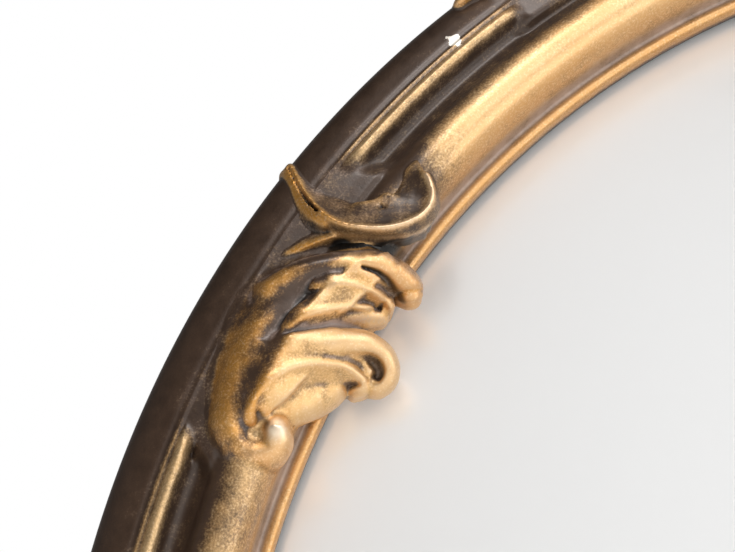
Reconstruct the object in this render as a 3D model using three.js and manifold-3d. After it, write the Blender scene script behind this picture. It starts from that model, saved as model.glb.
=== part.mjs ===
// Convex butler's mirror: a round moulded frame with applied rocaille castings, a domed
// mirror glass, a backing board held by turn buttons, and two D-ring hangers.
// Millimetres. The mirror hangs on a wall at y = 0, faces -Y, and +Z is up.
// "Height" below always means the distance off the wall, towards the viewer.
import * as THREE from 'three';
import { mergeVertices } from 'three/addons/utils/BufferGeometryUtils.js';
import Module from 'manifold-3d';

const wasm = await Module();
wasm.setup();

// ---- driving dimensions ---------------------------------------------------------------
const RIM_R = 300; // outside radius of the frame
const RIM_H = 16; // rim's edge above the frame's flat back
const BAND_W = 11.3; // sloping outer band
const FILLET_W = 2.0; // thin raised line beside the bead
const BEAD_W = 3.9; // small bead
const HOLLOW_W = 6.2; // hollow between bead and torus
const TORUS_W = 16.0; // the large half-round
const GROOVE_W = 1.9; // quirk between torus and lip
const LIP_W = 2.9; // lip round the sight edge
const TORUS_RISE = 14; // crest of the torus above the rim's edge
const BEAD_RISE = 11.4; // crest of the bead above the rim's edge
const LIP_DROP = 4; // sight edge below the rim's edge
const LIP_T = 3.1; // thickness of the lip over the glass

const WALL_GAP = 6; // frame's back to the wall, kept by the bumpers
const GLASS_T = 3; // mirror glass
const DOME_RISE = 38; // how far the glass bulges
const GLASS_BITE = 4.2; // glass hidden behind the lip
const REBATE_W = 5.2; // rebate beyond the sight edge
const BOARD_T = 3; // hardboard back
const BOARD_PLAY = 0.8; // board's edge to the rebate wall
const GASKET_PLAY = 0.5; // felt seal's edge to the rebate wall

const BUTTON_COUNT = 6;
const BUTTON_L = 30; // turn button, end to end
const BUTTON_W = 10;
const BUTTON_T = 1.2;
const BUTTON_INSET = 7; // screw's axis outside the rebate wall
const SCREW_HEAD_R = 3.4;
const SCREW_HEAD_T = 1.5;
const SCREW_R = 1.5;
const SCREW_L = 9; // shank in the frame

const HANGER_ANGLE = 30; // D-rings above the horizontal, each side
const STRAP_W = 10;
const STRAP_L = 30;
const STRAP_T = 0.8;
const WIRE_R = 1.25; // D-ring wire
const D_HALF = 8; // D-ring, pivot bar's half length
const D_SIDE = 3; // straight sides before the bow

const BUMPER_R = 7;
const BUMPER_ANGLE = 45;

const SCROLL_ANGLE = 30; // rocaille scrolls above and below the horizontal
const GAP = 0.3; // clearance between pieces that touch

const RING_STEPS = 66;
const DISC_STEPS = 44;

// ---- places worked out from them ------------------------------------------------------
const FRAME_W = BAND_W + FILLET_W + BEAD_W + HOLLOW_W + TORUS_W + GROOVE_W + LIP_W;
const SIGHT_R = RIM_R - FRAME_W;
const REBATE_R = SIGHT_R + REBATE_W;
const GLASS_R = SIGHT_R + GLASS_BITE;
const EDGE_H = WALL_GAP + RIM_H; // height of the rim's edge
const REBATE_H = EDGE_H - LIP_DROP - LIP_T; // face that the felt seal bears on
const DOME_R = (GLASS_R * GLASS_R + DOME_RISE * DOME_RISE) / (2 * DOME_RISE);
const BOARD_H = WALL_GAP + BOARD_T; // front face of the board
const GLASS_BACK_H = BOARD_H + GAP; // glass's rearmost edge
const DOME_C = GLASS_BACK_H + GLASS_T - (DOME_R - DOME_RISE); // centre of the dome's sphere
const CARVING = FRAME_W / 44.2; // the carving's stations were measured on a frame 44.2 mm wide

function domeHeight(r) {
  return DOME_C + Math.sqrt(DOME_R * DOME_R - r * r);
}

// ---- finishes --------------------------------------------------------------------------
function finish(color, roughness, metalness) {
  return new THREE.MeshStandardMaterial({ color, roughness, metalness });
}
const GILT = finish(0x8a6a3c, 0.42, 0.75);
const GILT_DARK = finish(0x5d4630, 0.46, 0.7);
const SILVERED = finish(0xe9ebec, 0.03, 1.0);
const FELT = finish(0x2b2a28, 0.95, 0.0);
const BOARD = finish(0x6d4f34, 0.85, 0.0);
const PLATED = finish(0xc9a75c, 0.35, 0.9);
const STEEL = finish(0xb4b4b0, 0.35, 0.9);
const RUBBER = finish(0x1d1d1d, 0.8, 0.0);

// ---- solids ------------------------------------------------------------------------------
// Signed volume tells which way a closed mesh faces.
function turnedOut(positions, index) {
  let volume = 0;
  const a = new THREE.Vector3();
  const b = new THREE.Vector3();
  const c = new THREE.Vector3();
  for (let i = 0; i < index.length; i += 3) {
    a.fromArray(positions, index[i] * 3);
    b.fromArray(positions, index[i + 1] * 3);
    c.fromArray(positions, index[i + 2] * 3);
    volume += a.dot(b.cross(c));
  }
  if (volume >= 0) return index;
  const flipped = Uint32Array.from(index);
  for (let i = 0; i < flipped.length; i += 3) {
    flipped[i + 1] = index[i + 2];
    flipped[i + 2] = index[i + 1];
  }
  return flipped;
}

function solid(geometry) {
  const bare = geometry.clone();
  bare.deleteAttribute('normal');
  bare.deleteAttribute('uv');
  const merged = mergeVertices(bare, 1e-4);
  const positions = Float32Array.from(merged.attributes.position.array);
  const corners = merged.index.array;
  const kept = [];
  for (let i = 0; i < corners.length; i += 3) {
    const [p, q, r] = [corners[i], corners[i + 1], corners[i + 2]];
    if (p !== q && q !== r && r !== p) kept.push(p, q, r);
  }
  const triVerts = turnedOut(positions, Uint32Array.from(kept));
  return new wasm.Manifold(new wasm.Mesh({ numProp: 3, vertProperties: positions, triVerts }));
}

function geometryOf(manifold) {
  const mesh = manifold.getMesh();
  const geometry = new THREE.BufferGeometry();
  geometry.setAttribute('position', new THREE.BufferAttribute(mesh.vertProperties, 3));
  geometry.setIndex(new THREE.BufferAttribute(mesh.triVerts, 1));
  geometry.computeVertexNormals();
  return geometry;
}

function fuse(solids) {
  return solids.reduce((sum, next) => sum.add(next));
}

// A cut can leave crumbs, such as a lobe's end behind the lip: only the casting itself is kept.
function withoutCrumbs(manifold) {
  const pieces = manifold.decompose();
  return pieces.reduce((best, next) => (next.volume() > best.volume() ? next : best));
}

// A profile of [radius, height] points revolved about the mirror's axis, which faces -Y.
function revolve(profile, steps) {
  const points = profile.map(([r, h]) => new THREE.Vector2(r, h));
  const geometry = new THREE.LatheGeometry(points, steps);
  geometry.rotateX(Math.PI);
  return geometry;
}

// A point given by its angle about the mirror, radius and height.
function polar(degrees, r, h) {
  const angle = THREE.MathUtils.degToRad(degrees);
  return new THREE.Vector3(r * Math.cos(angle), -h, r * Math.sin(angle));
}

// ---- moulding ----------------------------------------------------------------------------
// Front of the moulding from the rim's edge to the sight edge, as [radius, height].
function frontProfile() {
  const band = RIM_R - BAND_W;
  const fillet = band - FILLET_W;
  const bead = fillet - BEAD_W;
  const hollow = bead - HOLLOW_W;
  const torus = hollow - TORUS_W;
  const groove = torus - GROOVE_W;
  const at = (r, rise) => [r, EDGE_H + rise];
  const points = [
    at(RIM_R, 0),
    at(RIM_R - 1.6, 3.2),
    at(RIM_R - 6.8, BEAD_RISE - 4.2),
    at(band, BEAD_RISE - 3.0),
    at(band - FILLET_W * 0.55, BEAD_RISE - 1.7),
    at(fillet, BEAD_RISE - 2.2),
    at(fillet - BEAD_W * 0.3, BEAD_RISE - 0.4),
    at(fillet - BEAD_W * 0.7, BEAD_RISE - 0.4),
    at(bead, BEAD_RISE - 2.9),
    at(bead - HOLLOW_W * 0.45, BEAD_RISE - 4.8),
    at(hollow, BEAD_RISE - 3.1),
  ];
  // torus: a lopsided half-round, steep on the glass side
  const foot = BEAD_RISE - 2.4;
  const crestAt = 0.4;
  for (let i = 1; i < 6; i += 1) {
    const t = (i / 6) * Math.PI;
    const across = (1 - Math.cos(t)) / 2;
    const low = across < crestAt ? foot : -LIP_DROP + 4.4;
    points.push(at(hollow - TORUS_W * across, low + (TORUS_RISE - low) * Math.sin(t) ** 0.8));
  }
  points.push(
    at(torus - GROOVE_W * 0.5, -LIP_DROP + 1.6),
    at(groove, -LIP_DROP + 2.6),
    at(groove - LIP_W * 0.5, -LIP_DROP + 3.2),
    at(SIGHT_R, -LIP_DROP),
  );
  return points;
}

function closed(profile) {
  return [...profile, profile[0]];
}

function frameRing() {
  const front = frontProfile();
  const profile = [
    [RIM_R - 1.5, WALL_GAP],
    [RIM_R, EDGE_H - 3],
    ...front,
    [SIGHT_R, REBATE_H],
    [REBATE_R, REBATE_H],
    [REBATE_R, WALL_GAP],
  ];
  return solid(revolve(closed(profile), RING_STEPS));
}

// Taut line over a profile that runs from the rim inwards: its hollows are bridged.
function bridged(profile) {
  const line = [];
  for (const point of profile) {
    while (line.length > 1) {
      const [a, b] = line.slice(-2);
      const turn = (b[0] - a[0]) * (point[1] - a[1]) - (b[1] - a[1]) * (point[0] - a[0]);
      if (turn > 0) break;
      line.pop();
    }
    line.push(point);
  }
  return line;
}

// A bridged profile moved out by a distance along its mitred normals.
function raised(line, distance) {
  const edge = (a, b) => new THREE.Vector2(b[1] - a[1], a[0] - b[0]).normalize();
  return line.map((point, i) => {
    const one = edge(line[Math.max(i - 1, 0)], line[Math.max(i, 1)]);
    const last = line.length - 1;
    const two = edge(line[Math.min(i, last - 1)], line[Math.min(i + 1, last)]);
    const normal = one.clone().add(two).normalize();
    const push = distance / normal.dot(one);
    return [point[0] + normal.x * push, point[1] + normal.y * push];
  });
}

// What a casting must stay clear of: the moulding, bridged over its hollows, and the glass.
function seatTool() {
  const reach = 30;
  const top = raised(bridged([[RIM_R, WALL_GAP], ...frontProfile()]), GAP);
  const inside = SIGHT_R - GAP;
  const profile = [
    [top[0][0], WALL_GAP - 1],
    ...top.slice(1),
    [inside, domeHeight(SIGHT_R) + 1.2],
    [SIGHT_R - reach, domeHeight(SIGHT_R - reach) + 1.2],
    [SIGHT_R - reach, WALL_GAP - 1],
  ];
  return solid(revolve(closed(profile), RING_STEPS));
}

// ---- carved forms ------------------------------------------------------------------------
// Loft along a smooth path. Each station is [degrees from the casting's centre line,
// distance in from the rim, height over the rim's edge, half width, half depth].
// The section is an ellipse square to the path; both ends are rounded off.
function lobe(stations, centre, mirror, { steps = 9, sides = 8, grow = 0 } = {}) {
  const spots = stations.map(([a, inward, rise]) => (
    polar(centre + a * mirror, RIM_R - inward * CARVING, EDGE_H + rise * CARVING)));
  const path = new THREE.CatmullRomCurve3(spots, false, 'centripetal');
  const sizes = new THREE.CatmullRomCurve3(
    stations.map((s) => new THREE.Vector3(s[3] * CARVING + grow, s[4] * CARVING + grow, 0)),
    false, 'catmullrom');
  const off = new THREE.Vector3(0, -1, 0);
  const rings = [];
  const ring = (u, push, shrink) => {
    const t = path.getTangent(u);
    const across = new THREE.Vector3().crossVectors(t, off).normalize();
    const up = new THREE.Vector3().crossVectors(across, t).normalize();
    const size = sizes.getPoint(u);
    const middle = path.getPoint(u).addScaledVector(t, push * size.x);
    const points = [];
    for (let k = 0; k < sides; k += 1) {
      const angle = (k / sides) * 2 * Math.PI;
      points.push(middle.clone()
        .addScaledVector(across, size.x * shrink * Math.sin(angle))
        .addScaledVector(up, size.y * shrink * Math.cos(angle)));
    }
    rings.push(points);
  };
  const pole = (u, push) => path.getPoint(u)
    .addScaledVector(path.getTangent(u), push * sizes.getPoint(u).x);
  ring(0, -0.7, 0.65);
  for (let i = 0; i <= steps; i += 1) ring(i / steps, 0, 1);
  ring(1, 0.7, 0.65);
  return solid(stitched(rings, pole(0, -0.95), pole(1, 0.95)));
}

// Skin over rings of equal count, closed by a pole at each end.
function stitched(rings, first, last) {
  const sides = rings[0].length;
  const positions = [first, ...rings.flat(), last].flatMap((p) => [p.x, p.y, p.z]);
  const index = [];
  const at = (i, k) => 1 + i * sides + (k % sides);
  const end = positions.length / 3 - 1;
  for (let k = 0; k < sides; k += 1) {
    index.push(0, at(0, k + 1), at(0, k));
    index.push(end, at(rings.length - 1, k), at(rings.length - 1, k + 1));
    for (let i = 0; i + 1 < rings.length; i += 1) {
      index.push(at(i, k), at(i, k + 1), at(i + 1, k));
      index.push(at(i, k + 1), at(i + 1, k + 1), at(i + 1, k));
    }
  }
  const geometry = new THREE.BufferGeometry();
  geometry.setAttribute('position', new THREE.Float32BufferAttribute(positions, 3));
  geometry.setIndex(index);
  return geometry;
}

// ---- rocaille scroll: volute, C-scroll and leaf lobes --------------------------------------
const SCROLL = {
  ground: [[10.4, 20.3, 4, 7, 7.5], [8.1, 19.8, 5.5, 12, 8.5], [3.9, 19.8, 5.5, 12.5, 8.5],
    [0, 20.3, 5.5, 12, 8.5], [-3.4, 20.3, 5.5, 11.5, 8.5], [-5.6, 17.5, 4.5, 8, 7.5]],
  body: [[-1.2, 29.9, 13, 3.6, 6], [1, 26, 14, 6, 8.5], [3.6, 23.2, 14.5, 7.2, 9.5],
    [6.3, 22.9, 14, 6.8, 9.5], [8.7, 25.4, 12.5, 5.6, 9], [9.8, 30, 11, 4.6, 8.5],
    [9.2, 35.2, 10, 3.8, 8.5], [8.1, 35.2, 12, 3, 7.5], [7.6, 32.8, 11.5, 2.2, 6]],
  rim: [[8.3, 30.5, 13, 1.4, 6], [7.7, 28.2, 15.5, 1.6, 7], [6.7, 28.2, 16, 1.8, 8],
    [5.7, 30.5, 15, 2, 8.5], [4.8, 34.7, 12.5, 2.1, 9], [3.9, 39.6, 8.5, 2.1, 7.5],
    [3.3, 43.5, 5, 2, 5], [3, 46.4, 3, 1.8, 4]],
  web: [[7.1, 31.6, 7.5, 5, 6], [5.8, 35.4, 6.5, 5.5, 6.5], [4.5, 39.9, 3, 4.6, 6],
    [3.6, 44.1, -0.5, 3, 3.8]],
  lobeBig: [[4.5, 28.6, 12, 3.2, 8], [3.7, 34.5, 12.5, 4.4, 8], [2.7, 39.6, 10.5, 5, 8],
    [1.6, 43.9, 7.5, 4.8, 7.5], [0.8, 47.6, 4.5, 4.2, 6.5], [0.8, 51, 2.5, 3.4, 5.2],
    [1.6, 53.3, 2, 2.6, 4.5], [2.6, 53, 2.4, 2.1, 4], [3.1, 50.6, 3.4, 1.7, 3.6]],
  lobeSecond: [[3.3, 26.2, 15, 1.5, 6.5], [2.3, 29.6, 15.5, 1.9, 8], [1.3, 33.6, 13.5, 2.1, 8],
    [0.2, 37.9, 9.5, 2, 7.5], [-0.5, 42, 5.5, 1.7, 6]],
  lobeThird: [[1, 27, 14, 1.6, 7.5], [0, 32.2, 12.5, 2.2, 8.5], [-0.9, 37.3, 8.5, 2.1, 8],
    [-1.6, 41.9, 5, 1.8, 6]],
  lobeEnd: [[-0.1, 21.9, 13.5, 3.2, 8.5], [-1.2, 28.9, 13.5, 4.2, 9], [-2.4, 34.5, 11, 4.4, 9],
    [-3.5, 40, 7.5, 4.2, 8], [-4.1, 44.5, 4.5, 3.6, 6.5], [-3.9, 47.6, 2.5, 2.8, 5]],
};

// Cupped shell beside the scroll: a thin horned rim, its back and the ridge under it.
const SHELL = {
  rim: [[-5.3, 1, 1, 1.5, 4.5], [-4.5, 7.6, 6, 1.9, 7], [-3.9, 15.8, 10, 2.3, 9],
    [-3.8, 23.4, 12.5, 2.6, 10], [-4.2, 30, 13, 2.8, 10], [-5.1, 35.1, 12, 2.9, 9.5],
    [-6.4, 37.7, 11, 2.8, 8.5], [-7.7, 37.4, 11.5, 2.5, 7.5], [-8.6, 34.3, 12.5, 2, 6],
    [-8.9, 32, 13, 1.5, 4.5]],
  back: [[-5.6, 4.1, 0, 2, 4], [-5.6, 13, 2.5, 4, 7], [-5.7, 21.4, 3.5, 6, 8.5],
    [-6.5, 28.4, 4, 6.5, 9], [-7.7, 31.3, 4, 5.5, 8.5]],
  ridge: [[-0.8, 13.7, 4, 1.6, 5.5], [-1.9, 18.8, 6.5, 1.9, 7.5], [-2.9, 25.1, 8, 2, 8.5],
    [-4, 31.5, 7, 2.1, 8.5], [-5.1, 36.5, 5, 2.1, 8], [-6.4, 38.9, 3.5, 1.8, 7]],
};

function shellSolid(centre, mirror, grow) {
  const form = (name, steps) => lobe(SHELL[name], centre, mirror, { steps, grow, sides: 6 });
  return fuse([form('rim', 9), form('back', 3), form('ridge', 4)]);
}

function scrollSolid(centre, mirror) {
  const form = (name, steps, sides = 8) => lobe(SCROLL[name], centre, mirror, { steps, sides });
  return fuse([
    form('ground', 2, 6), form('body', 8, 6), form('rim', 6, 5), form('web', 2, 5),
    form('lobeBig', 8, 6), form('lobeSecond', 2, 5), form('lobeThird', 2, 5),
    form('lobeEnd', 4, 6),
  ]);
}

// ---- crest: a fan shell between two long leaves that trail along the rim --------------------
const CREST = {
  leaf: [[41.4, 2.2, 2.5, 2, 5], [39.5, 1.8, 4.5, 3.4, 7], [35, 2.8, 6, 4.6, 8],
    [29, 3.6, 7, 5.6, 8.5], [23, 3, 8, 6.2, 9], [17, 0.5, 9, 6.4, 9], [13, -2, 9, 5, 8.5]],
  scroll: [[25, 5, 8, 3, 7.5], [20, -2.5, 10, 4.2, 8.5], [16, -10, 11, 4.8, 9],
    [12.2, -14.5, 11.5, 5, 9], [9, -12, 12, 4.6, 9], [8.6, -6, 12, 3.6, 8]],
  hook: [[13, 12, 9, 2.6, 7], [9, 16, 11, 3.6, 8], [5, 14, 12, 4, 8.5], [3, 8, 12, 4, 8.5],
    [2.4, 2, 12, 3.4, 8]],
  pad: [[-11, 3, 4, 8, 7], [0, 3, 6, 10, 8], [11, 3, 4, 8, 7]],
};
const FAN_RIBS = 7;
const FAN_SPREAD = 66; // degrees either side of upright
const FAN_LENGTH = 38;
const FAN_ROOT = 10; // root of the fan, in from the rim
const RIB_RISE = 2.4;

// Scallop: one section across the shell for each rib's crest and valley, lofted round the fan.
function fanShell(centre) {
  const root = polar(centre, RIM_R - FAN_ROOT, 0);
  const sections = [];
  for (let i = 0; i <= FAN_RIBS * 2; i += 1) {
    const turn = (i / FAN_RIBS - 1) * FAN_SPREAD;
    const crest = i % 2;
    const length = FAN_LENGTH * (0.74 + 0.26 * Math.cos(THREE.MathUtils.degToRad(turn)))
      * (0.93 + 0.07 * crest);
    const rib = crest * RIB_RISE;
    const outline = [[0.05, 3], [0.05, 13], [0.5, 15 + rib * 0.6], [0.85, 13 + rib],
      [1, 9 + rib * 0.7], [0.98, 5]];
    sections.push(outline.map(([share, rise]) => (
      polar(centre + turn, share * length, EDGE_H + rise * CARVING).add(root))));
  }
  const middle = (section) => section.reduce((sum, p) => sum.add(p), new THREE.Vector3())
    .divideScalar(section.length);
  return solid(stitched(sections, middle(sections[0]), middle(sections[sections.length - 1])));
}

function crestSolid(centre) {
  const parts = [];
  for (const mirror of [1, -1]) {
    parts.push(lobe(CREST.leaf, centre, mirror, { steps: 5, sides: 5 }));
    parts.push(lobe(CREST.scroll, centre, mirror, { steps: 5, sides: 6 }));
    parts.push(lobe(CREST.hook, centre, mirror, { steps: 3, sides: 5 }));
  }
  parts.push(fanShell(centre));
  parts.push(lobe(CREST.pad, centre, 1, { steps: 2, sides: 5 }));
  return fuse(parts);
}

// ---- glass, seal and board -----------------------------------------------------------------
function arc(radius, from, to, count) {
  const points = [];
  for (let i = 0; i <= count; i += 1) {
    const r = from + ((to - from) * i) / count;
    points.push([r, DOME_C + Math.sqrt(radius * radius - r * r)]);
  }
  return points;
}

function mirrorGlass() {
  const front = arc(DOME_R, 0, GLASS_R, 6);
  const back = arc(DOME_R - GLASS_T, GLASS_R, 0, 3);
  return revolve([...front, ...back], DISC_STEPS);
}

// Wedge of felt between the lip and the sloping edge of the glass.
function glassGasket() {
  const inner = SIGHT_R + 1;
  const outer = REBATE_R - GASKET_PLAY;
  const under = (r) => domeHeight(Math.min(r, GLASS_R)) + GAP * 1.15;
  const top = REBATE_H - GAP;
  const profile = [[inner, top], [outer, top], [outer, under(outer)]];
  return revolve(closed(profile), DISC_STEPS);
}

function backingBoard() {
  const geometry = new THREE.CylinderGeometry(
    REBATE_R - BOARD_PLAY, REBATE_R - BOARD_PLAY, BOARD_T, DISC_STEPS);
  geometry.translate(0, -(WALL_GAP + BOARD_T / 2), 0);
  return geometry;
}

// ---- fastenings on the back ------------------------------------------------------------------
// Round-head screw with its head's flat side at the given height, driven towards the front.
function screw(spot, seatH) {
  const points = [[0, -SCREW_HEAD_T], [SCREW_HEAD_R * 0.6, -SCREW_HEAD_T],
    [SCREW_HEAD_R, -SCREW_HEAD_T * 0.35], [SCREW_HEAD_R, 0], [SCREW_R, 0],
    [SCREW_R, SCREW_L], [0, SCREW_L + SCREW_R]];
  const geometry = revolve(points, 8);
  geometry.translate(spot.x, -seatH, spot.z);
  return geometry;
}

function screwHole(spot) {
  const depth = SCREW_L + SCREW_R + 1;
  const geometry = new THREE.CylinderGeometry(SCREW_R + GAP, SCREW_R + GAP, depth, 8);
  geometry.translate(spot.x, -(WALL_GAP + depth / 2 - 0.5), spot.z);
  return solid(geometry);
}

// Flat piece drawn as a shape on the back plane, given its thickness and its rear height.
function plate(shape, thickness, rearH) {
  const geometry = new THREE.ExtrudeGeometry(shape, {
    depth: thickness, bevelEnabled: false, curveSegments: 4,
  });
  geometry.rotateX(Math.PI / 2);
  geometry.translate(0, -rearH, 0);
  return geometry;
}

const BUTTON_REAR = WALL_GAP - GAP - BUTTON_T;
const BUTTON_HEAD = BUTTON_REAR - GAP;

function turnButton(degrees) {
  const half = BUTTON_W / 2;
  const reach = BUTTON_L - half;
  const shape = new THREE.Shape();
  shape.absarc(0, 0, half, -Math.PI / 2, Math.PI / 2, false);
  shape.absarc(-reach + half, 0, half, Math.PI / 2, Math.PI * 1.5, false);
  const hole = new THREE.Path();
  hole.absarc(0, 0, SCREW_R + GAP, 0, Math.PI * 2, true);
  shape.holes.push(hole);
  const geometry = plate(shape, BUTTON_T, BUTTON_REAR);
  geometry.rotateY(-THREE.MathUtils.degToRad(degrees));
  const spot = polar(degrees, REBATE_R + BUTTON_INSET, 0);
  geometry.translate(spot.x, 0, spot.z);
  return geometry;
}

// Hanger: a folded strap screwed to the frame, with its eye curled round the D-ring's bar.
const EYE_IN = WIRE_R + GAP;
const EYE_OUT = EYE_IN + STRAP_T;
const STRAP_FRONT = WALL_GAP - GAP;
const PIVOT_H = STRAP_FRONT - EYE_OUT;
const STRAP_HOLES = [0.4, 0.8]; // along the strap, from the pivot

function hangerSpot(side) {
  const spot = polar(HANGER_ANGLE, (RIM_R + REBATE_R) / 2, 0);
  return { x: spot.x * side, z: spot.z };
}

function strapScrewSpot(side, share) {
  const spot = hangerSpot(side);
  return { x: spot.x, z: spot.z - STRAP_L * share };
}

function hangerStrap(side) {
  // side view: first coordinate up, second coordinate height off the wall
  const shape = new THREE.Shape();
  shape.moveTo(-STRAP_L, PIVOT_H + EYE_IN);
  shape.lineTo(-STRAP_L, PIVOT_H + EYE_OUT);
  const turn = (i, r) => {
    const angle = (i / 10) * 1.5 * Math.PI;
    shape.lineTo(r * Math.sin(angle), PIVOT_H + r * Math.cos(angle));
  };
  for (let i = 0; i <= 10; i += 1) turn(i, EYE_OUT);
  for (let i = 10; i >= 0; i -= 1) turn(i, EYE_IN);
  shape.closePath();
  const geometry = new THREE.ExtrudeGeometry(shape, { depth: STRAP_W, bevelEnabled: false });
  // shape x -> world Z, shape y -> world -Y, depth -> world X
  const turnAxes = new THREE.Matrix4().set(
    0, 0, 1, -STRAP_W / 2,
    0, -1, 0, 0,
    1, 0, 0, 0,
    0, 0, 0, 1);
  geometry.applyMatrix4(turnAxes);
  const spot = hangerSpot(side);
  geometry.translate(spot.x, 0, spot.z);
  let strap = solid(geometry);
  for (const share of STRAP_HOLES) {
    const at = strapScrewSpot(side, share);
    const hole = new THREE.CylinderGeometry(SCREW_R + GAP, SCREW_R + GAP, 10, 8);
    hole.translate(at.x, -STRAP_FRONT, at.z);
    strap = strap.subtract(solid(hole));
  }
  return strap;
}

// D of round wire: a straight pivot bar, short sides and a bow, swept as one closed loop.
function hangerRing(side) {
  const spot = hangerSpot(side);
  const corner = 1.6;
  const path = [];
  for (let i = 0; i <= 2; i += 1) {
    const angle = -Math.PI / 2 + (i / 2) * (Math.PI / 2);
    path.push([D_HALF - corner + corner * Math.cos(angle), corner + corner * Math.sin(angle)]);
  }
  for (let i = 0; i <= 10; i += 1) {
    const angle = (i / 10) * Math.PI;
    path.push([D_HALF * Math.cos(angle), corner + D_SIDE + D_HALF * Math.sin(angle)]);
  }
  for (let i = 0; i <= 2; i += 1) {
    const angle = Math.PI + (i / 2) * (Math.PI / 2);
    path.push([-D_HALF + corner + corner * Math.cos(angle), corner + corner * Math.sin(angle)]);
  }
  const sides = 6;
  const count = path.length;
  const positions = [];
  const index = [];
  path.forEach(([x, z], i) => {
    const [x0, z0] = path[(i + count - 1) % count];
    const [x1, z1] = path[(i + 1) % count];
    const out = new THREE.Vector2(z1 - z0, -(x1 - x0)).normalize();
    for (let k = 0; k < sides; k += 1) {
      const angle = (k / sides) * 2 * Math.PI;
      const wide = WIRE_R * Math.cos(angle);
      positions.push(spot.x + x + out.x * wide, -PIVOT_H - WIRE_R * Math.sin(angle),
        spot.z + z + out.y * wide);
      const [a, b] = [i * sides + k, i * sides + ((k + 1) % sides)];
      const [c, d] = [((i + 1) % count) * sides + k, ((i + 1) % count) * sides + ((k + 1) % sides)];
      index.push(a, b, c, b, d, c);
    }
  });
  const geometry = new THREE.BufferGeometry();
  geometry.setAttribute('position', new THREE.Float32BufferAttribute(positions, 3));
  geometry.setIndex(index);
  return geometry;
}

function wallBumper(degrees) {
  const tall = WALL_GAP - GAP;
  const geometry = new THREE.CylinderGeometry(BUMPER_R, BUMPER_R * 0.86, tall, 16);
  const spot = polar(degrees, (RIM_R + REBATE_R) / 2, 0);
  geometry.rotateX(Math.PI);
  geometry.translate(spot.x, -tall / 2, spot.z);
  return geometry;
}

// ---- assembly --------------------------------------------------------------------------------
const mirrorAssembly = new THREE.Group();

function put(name, shape, material) {
  const body = shape instanceof THREE.BufferGeometry ? solid(shape) : shape;
  const mesh = new THREE.Mesh(geometryOf(body), material);
  mesh.name = name;
  mirrorAssembly.add(mesh);
}

const SIDES = [['left', -1], ['right', 1]];
const buttonAngles = Array.from({ length: BUTTON_COUNT }, (_, i) => (i * 360) / BUTTON_COUNT);
const buttonSpots = buttonAngles.map((a) => polar(a, REBATE_R + BUTTON_INSET, 0));
const strapSpots = SIDES.flatMap(([, side]) => STRAP_HOLES.map((s) => strapScrewSpot(side, s)));

let ring = frameRing();
for (const spot of [...buttonSpots, ...strapSpots]) ring = ring.subtract(screwHole(spot));
put('frame_ring', ring, GILT_DARK);

const seat = seatTool();
const corners = [
  ['upper_left', 180 - SCROLL_ANGLE, 1],
  ['upper_right', SCROLL_ANGLE, -1],
  ['lower_left', 180 + SCROLL_ANGLE, -1],
  ['lower_right', -SCROLL_ANGLE, 1],
];
for (const [where, centre, mirror] of corners) {
  const scroll = scrollSolid(centre, mirror)
    .subtract(shellSolid(centre, mirror, GAP))
    .subtract(seat);
  put(`scroll_${where}`, withoutCrumbs(scroll), GILT);
  put(`shell_${where}`, withoutCrumbs(shellSolid(centre, mirror, 0).subtract(seat)), GILT);
}
put('crest_top', withoutCrumbs(crestSolid(90).subtract(seat)), GILT);
put('crest_bottom', withoutCrumbs(crestSolid(270).subtract(seat)), GILT);

put('mirror_glass', mirrorGlass(), SILVERED);
put('glass_gasket', glassGasket(), FELT);
put('backing_board', backingBoard(), BOARD);

buttonAngles.forEach((degrees, i) => {
  put(`turn_button_${i + 1}`, turnButton(degrees), PLATED);
  put(`button_screw_${i + 1}`, screw(buttonSpots[i], BUTTON_HEAD), STEEL);
});
for (const [name, side] of SIDES) {
  put(`hanger_strap_${name}`, hangerStrap(side), PLATED);
  put(`hanger_ring_${name}`, hangerRing(side), PLATED);
  STRAP_HOLES.forEach((share, i) => {
    const seatH = STRAP_FRONT - STRAP_T - GAP;
    put(`strap_screw_${name}_${i + 1}`, screw(strapScrewSpot(side, share), seatH), STEEL);
  });
}
['upper_right', 'upper_left', 'lower_left', 'lower_right'].forEach((where, i) => {
  put(`wall_bumper_${where}`, wallBumper(BUMPER_ANGLE + i * 90), RUBBER);
});

export default mirrorAssembly;
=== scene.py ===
"""Convex butler's mirror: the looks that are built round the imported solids.

Lengths are worked out in millimetres and put into the meshes in metres. A place on the mirror is given by
its angle round the axis, its radius and its rise over the rim's edge. Carving is worked out in a flat
block whose first axis runs along the rim, whose second is the radius and whose third is the rise.
"""

import bpy
import numpy as np
from mathutils import Matrix, Vector

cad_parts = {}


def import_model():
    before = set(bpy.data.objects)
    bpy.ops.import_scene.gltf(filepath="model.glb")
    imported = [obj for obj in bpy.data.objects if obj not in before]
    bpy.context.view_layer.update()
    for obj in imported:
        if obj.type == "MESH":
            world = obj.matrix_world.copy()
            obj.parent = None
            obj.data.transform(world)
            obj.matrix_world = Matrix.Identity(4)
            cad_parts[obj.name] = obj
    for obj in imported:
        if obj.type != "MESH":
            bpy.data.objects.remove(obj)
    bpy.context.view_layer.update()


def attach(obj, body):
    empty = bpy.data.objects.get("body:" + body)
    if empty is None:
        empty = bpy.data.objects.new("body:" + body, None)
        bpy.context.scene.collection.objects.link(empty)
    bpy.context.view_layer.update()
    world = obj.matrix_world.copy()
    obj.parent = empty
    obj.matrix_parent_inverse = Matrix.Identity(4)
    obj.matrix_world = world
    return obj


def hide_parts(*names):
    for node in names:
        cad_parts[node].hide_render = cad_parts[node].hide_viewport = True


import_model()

# ---- sizes, in millimetres, as in the part's source ----
RIM_R, EDGE_H, WALL_GAP = 300.0, 22.0, 6.0
SIGHT_R, REBATE_R, GLASS_R = 255.8, 261.0, 260.0
LIP_FACE = -7.1  # underside of the lip, over the rim's edge
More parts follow.
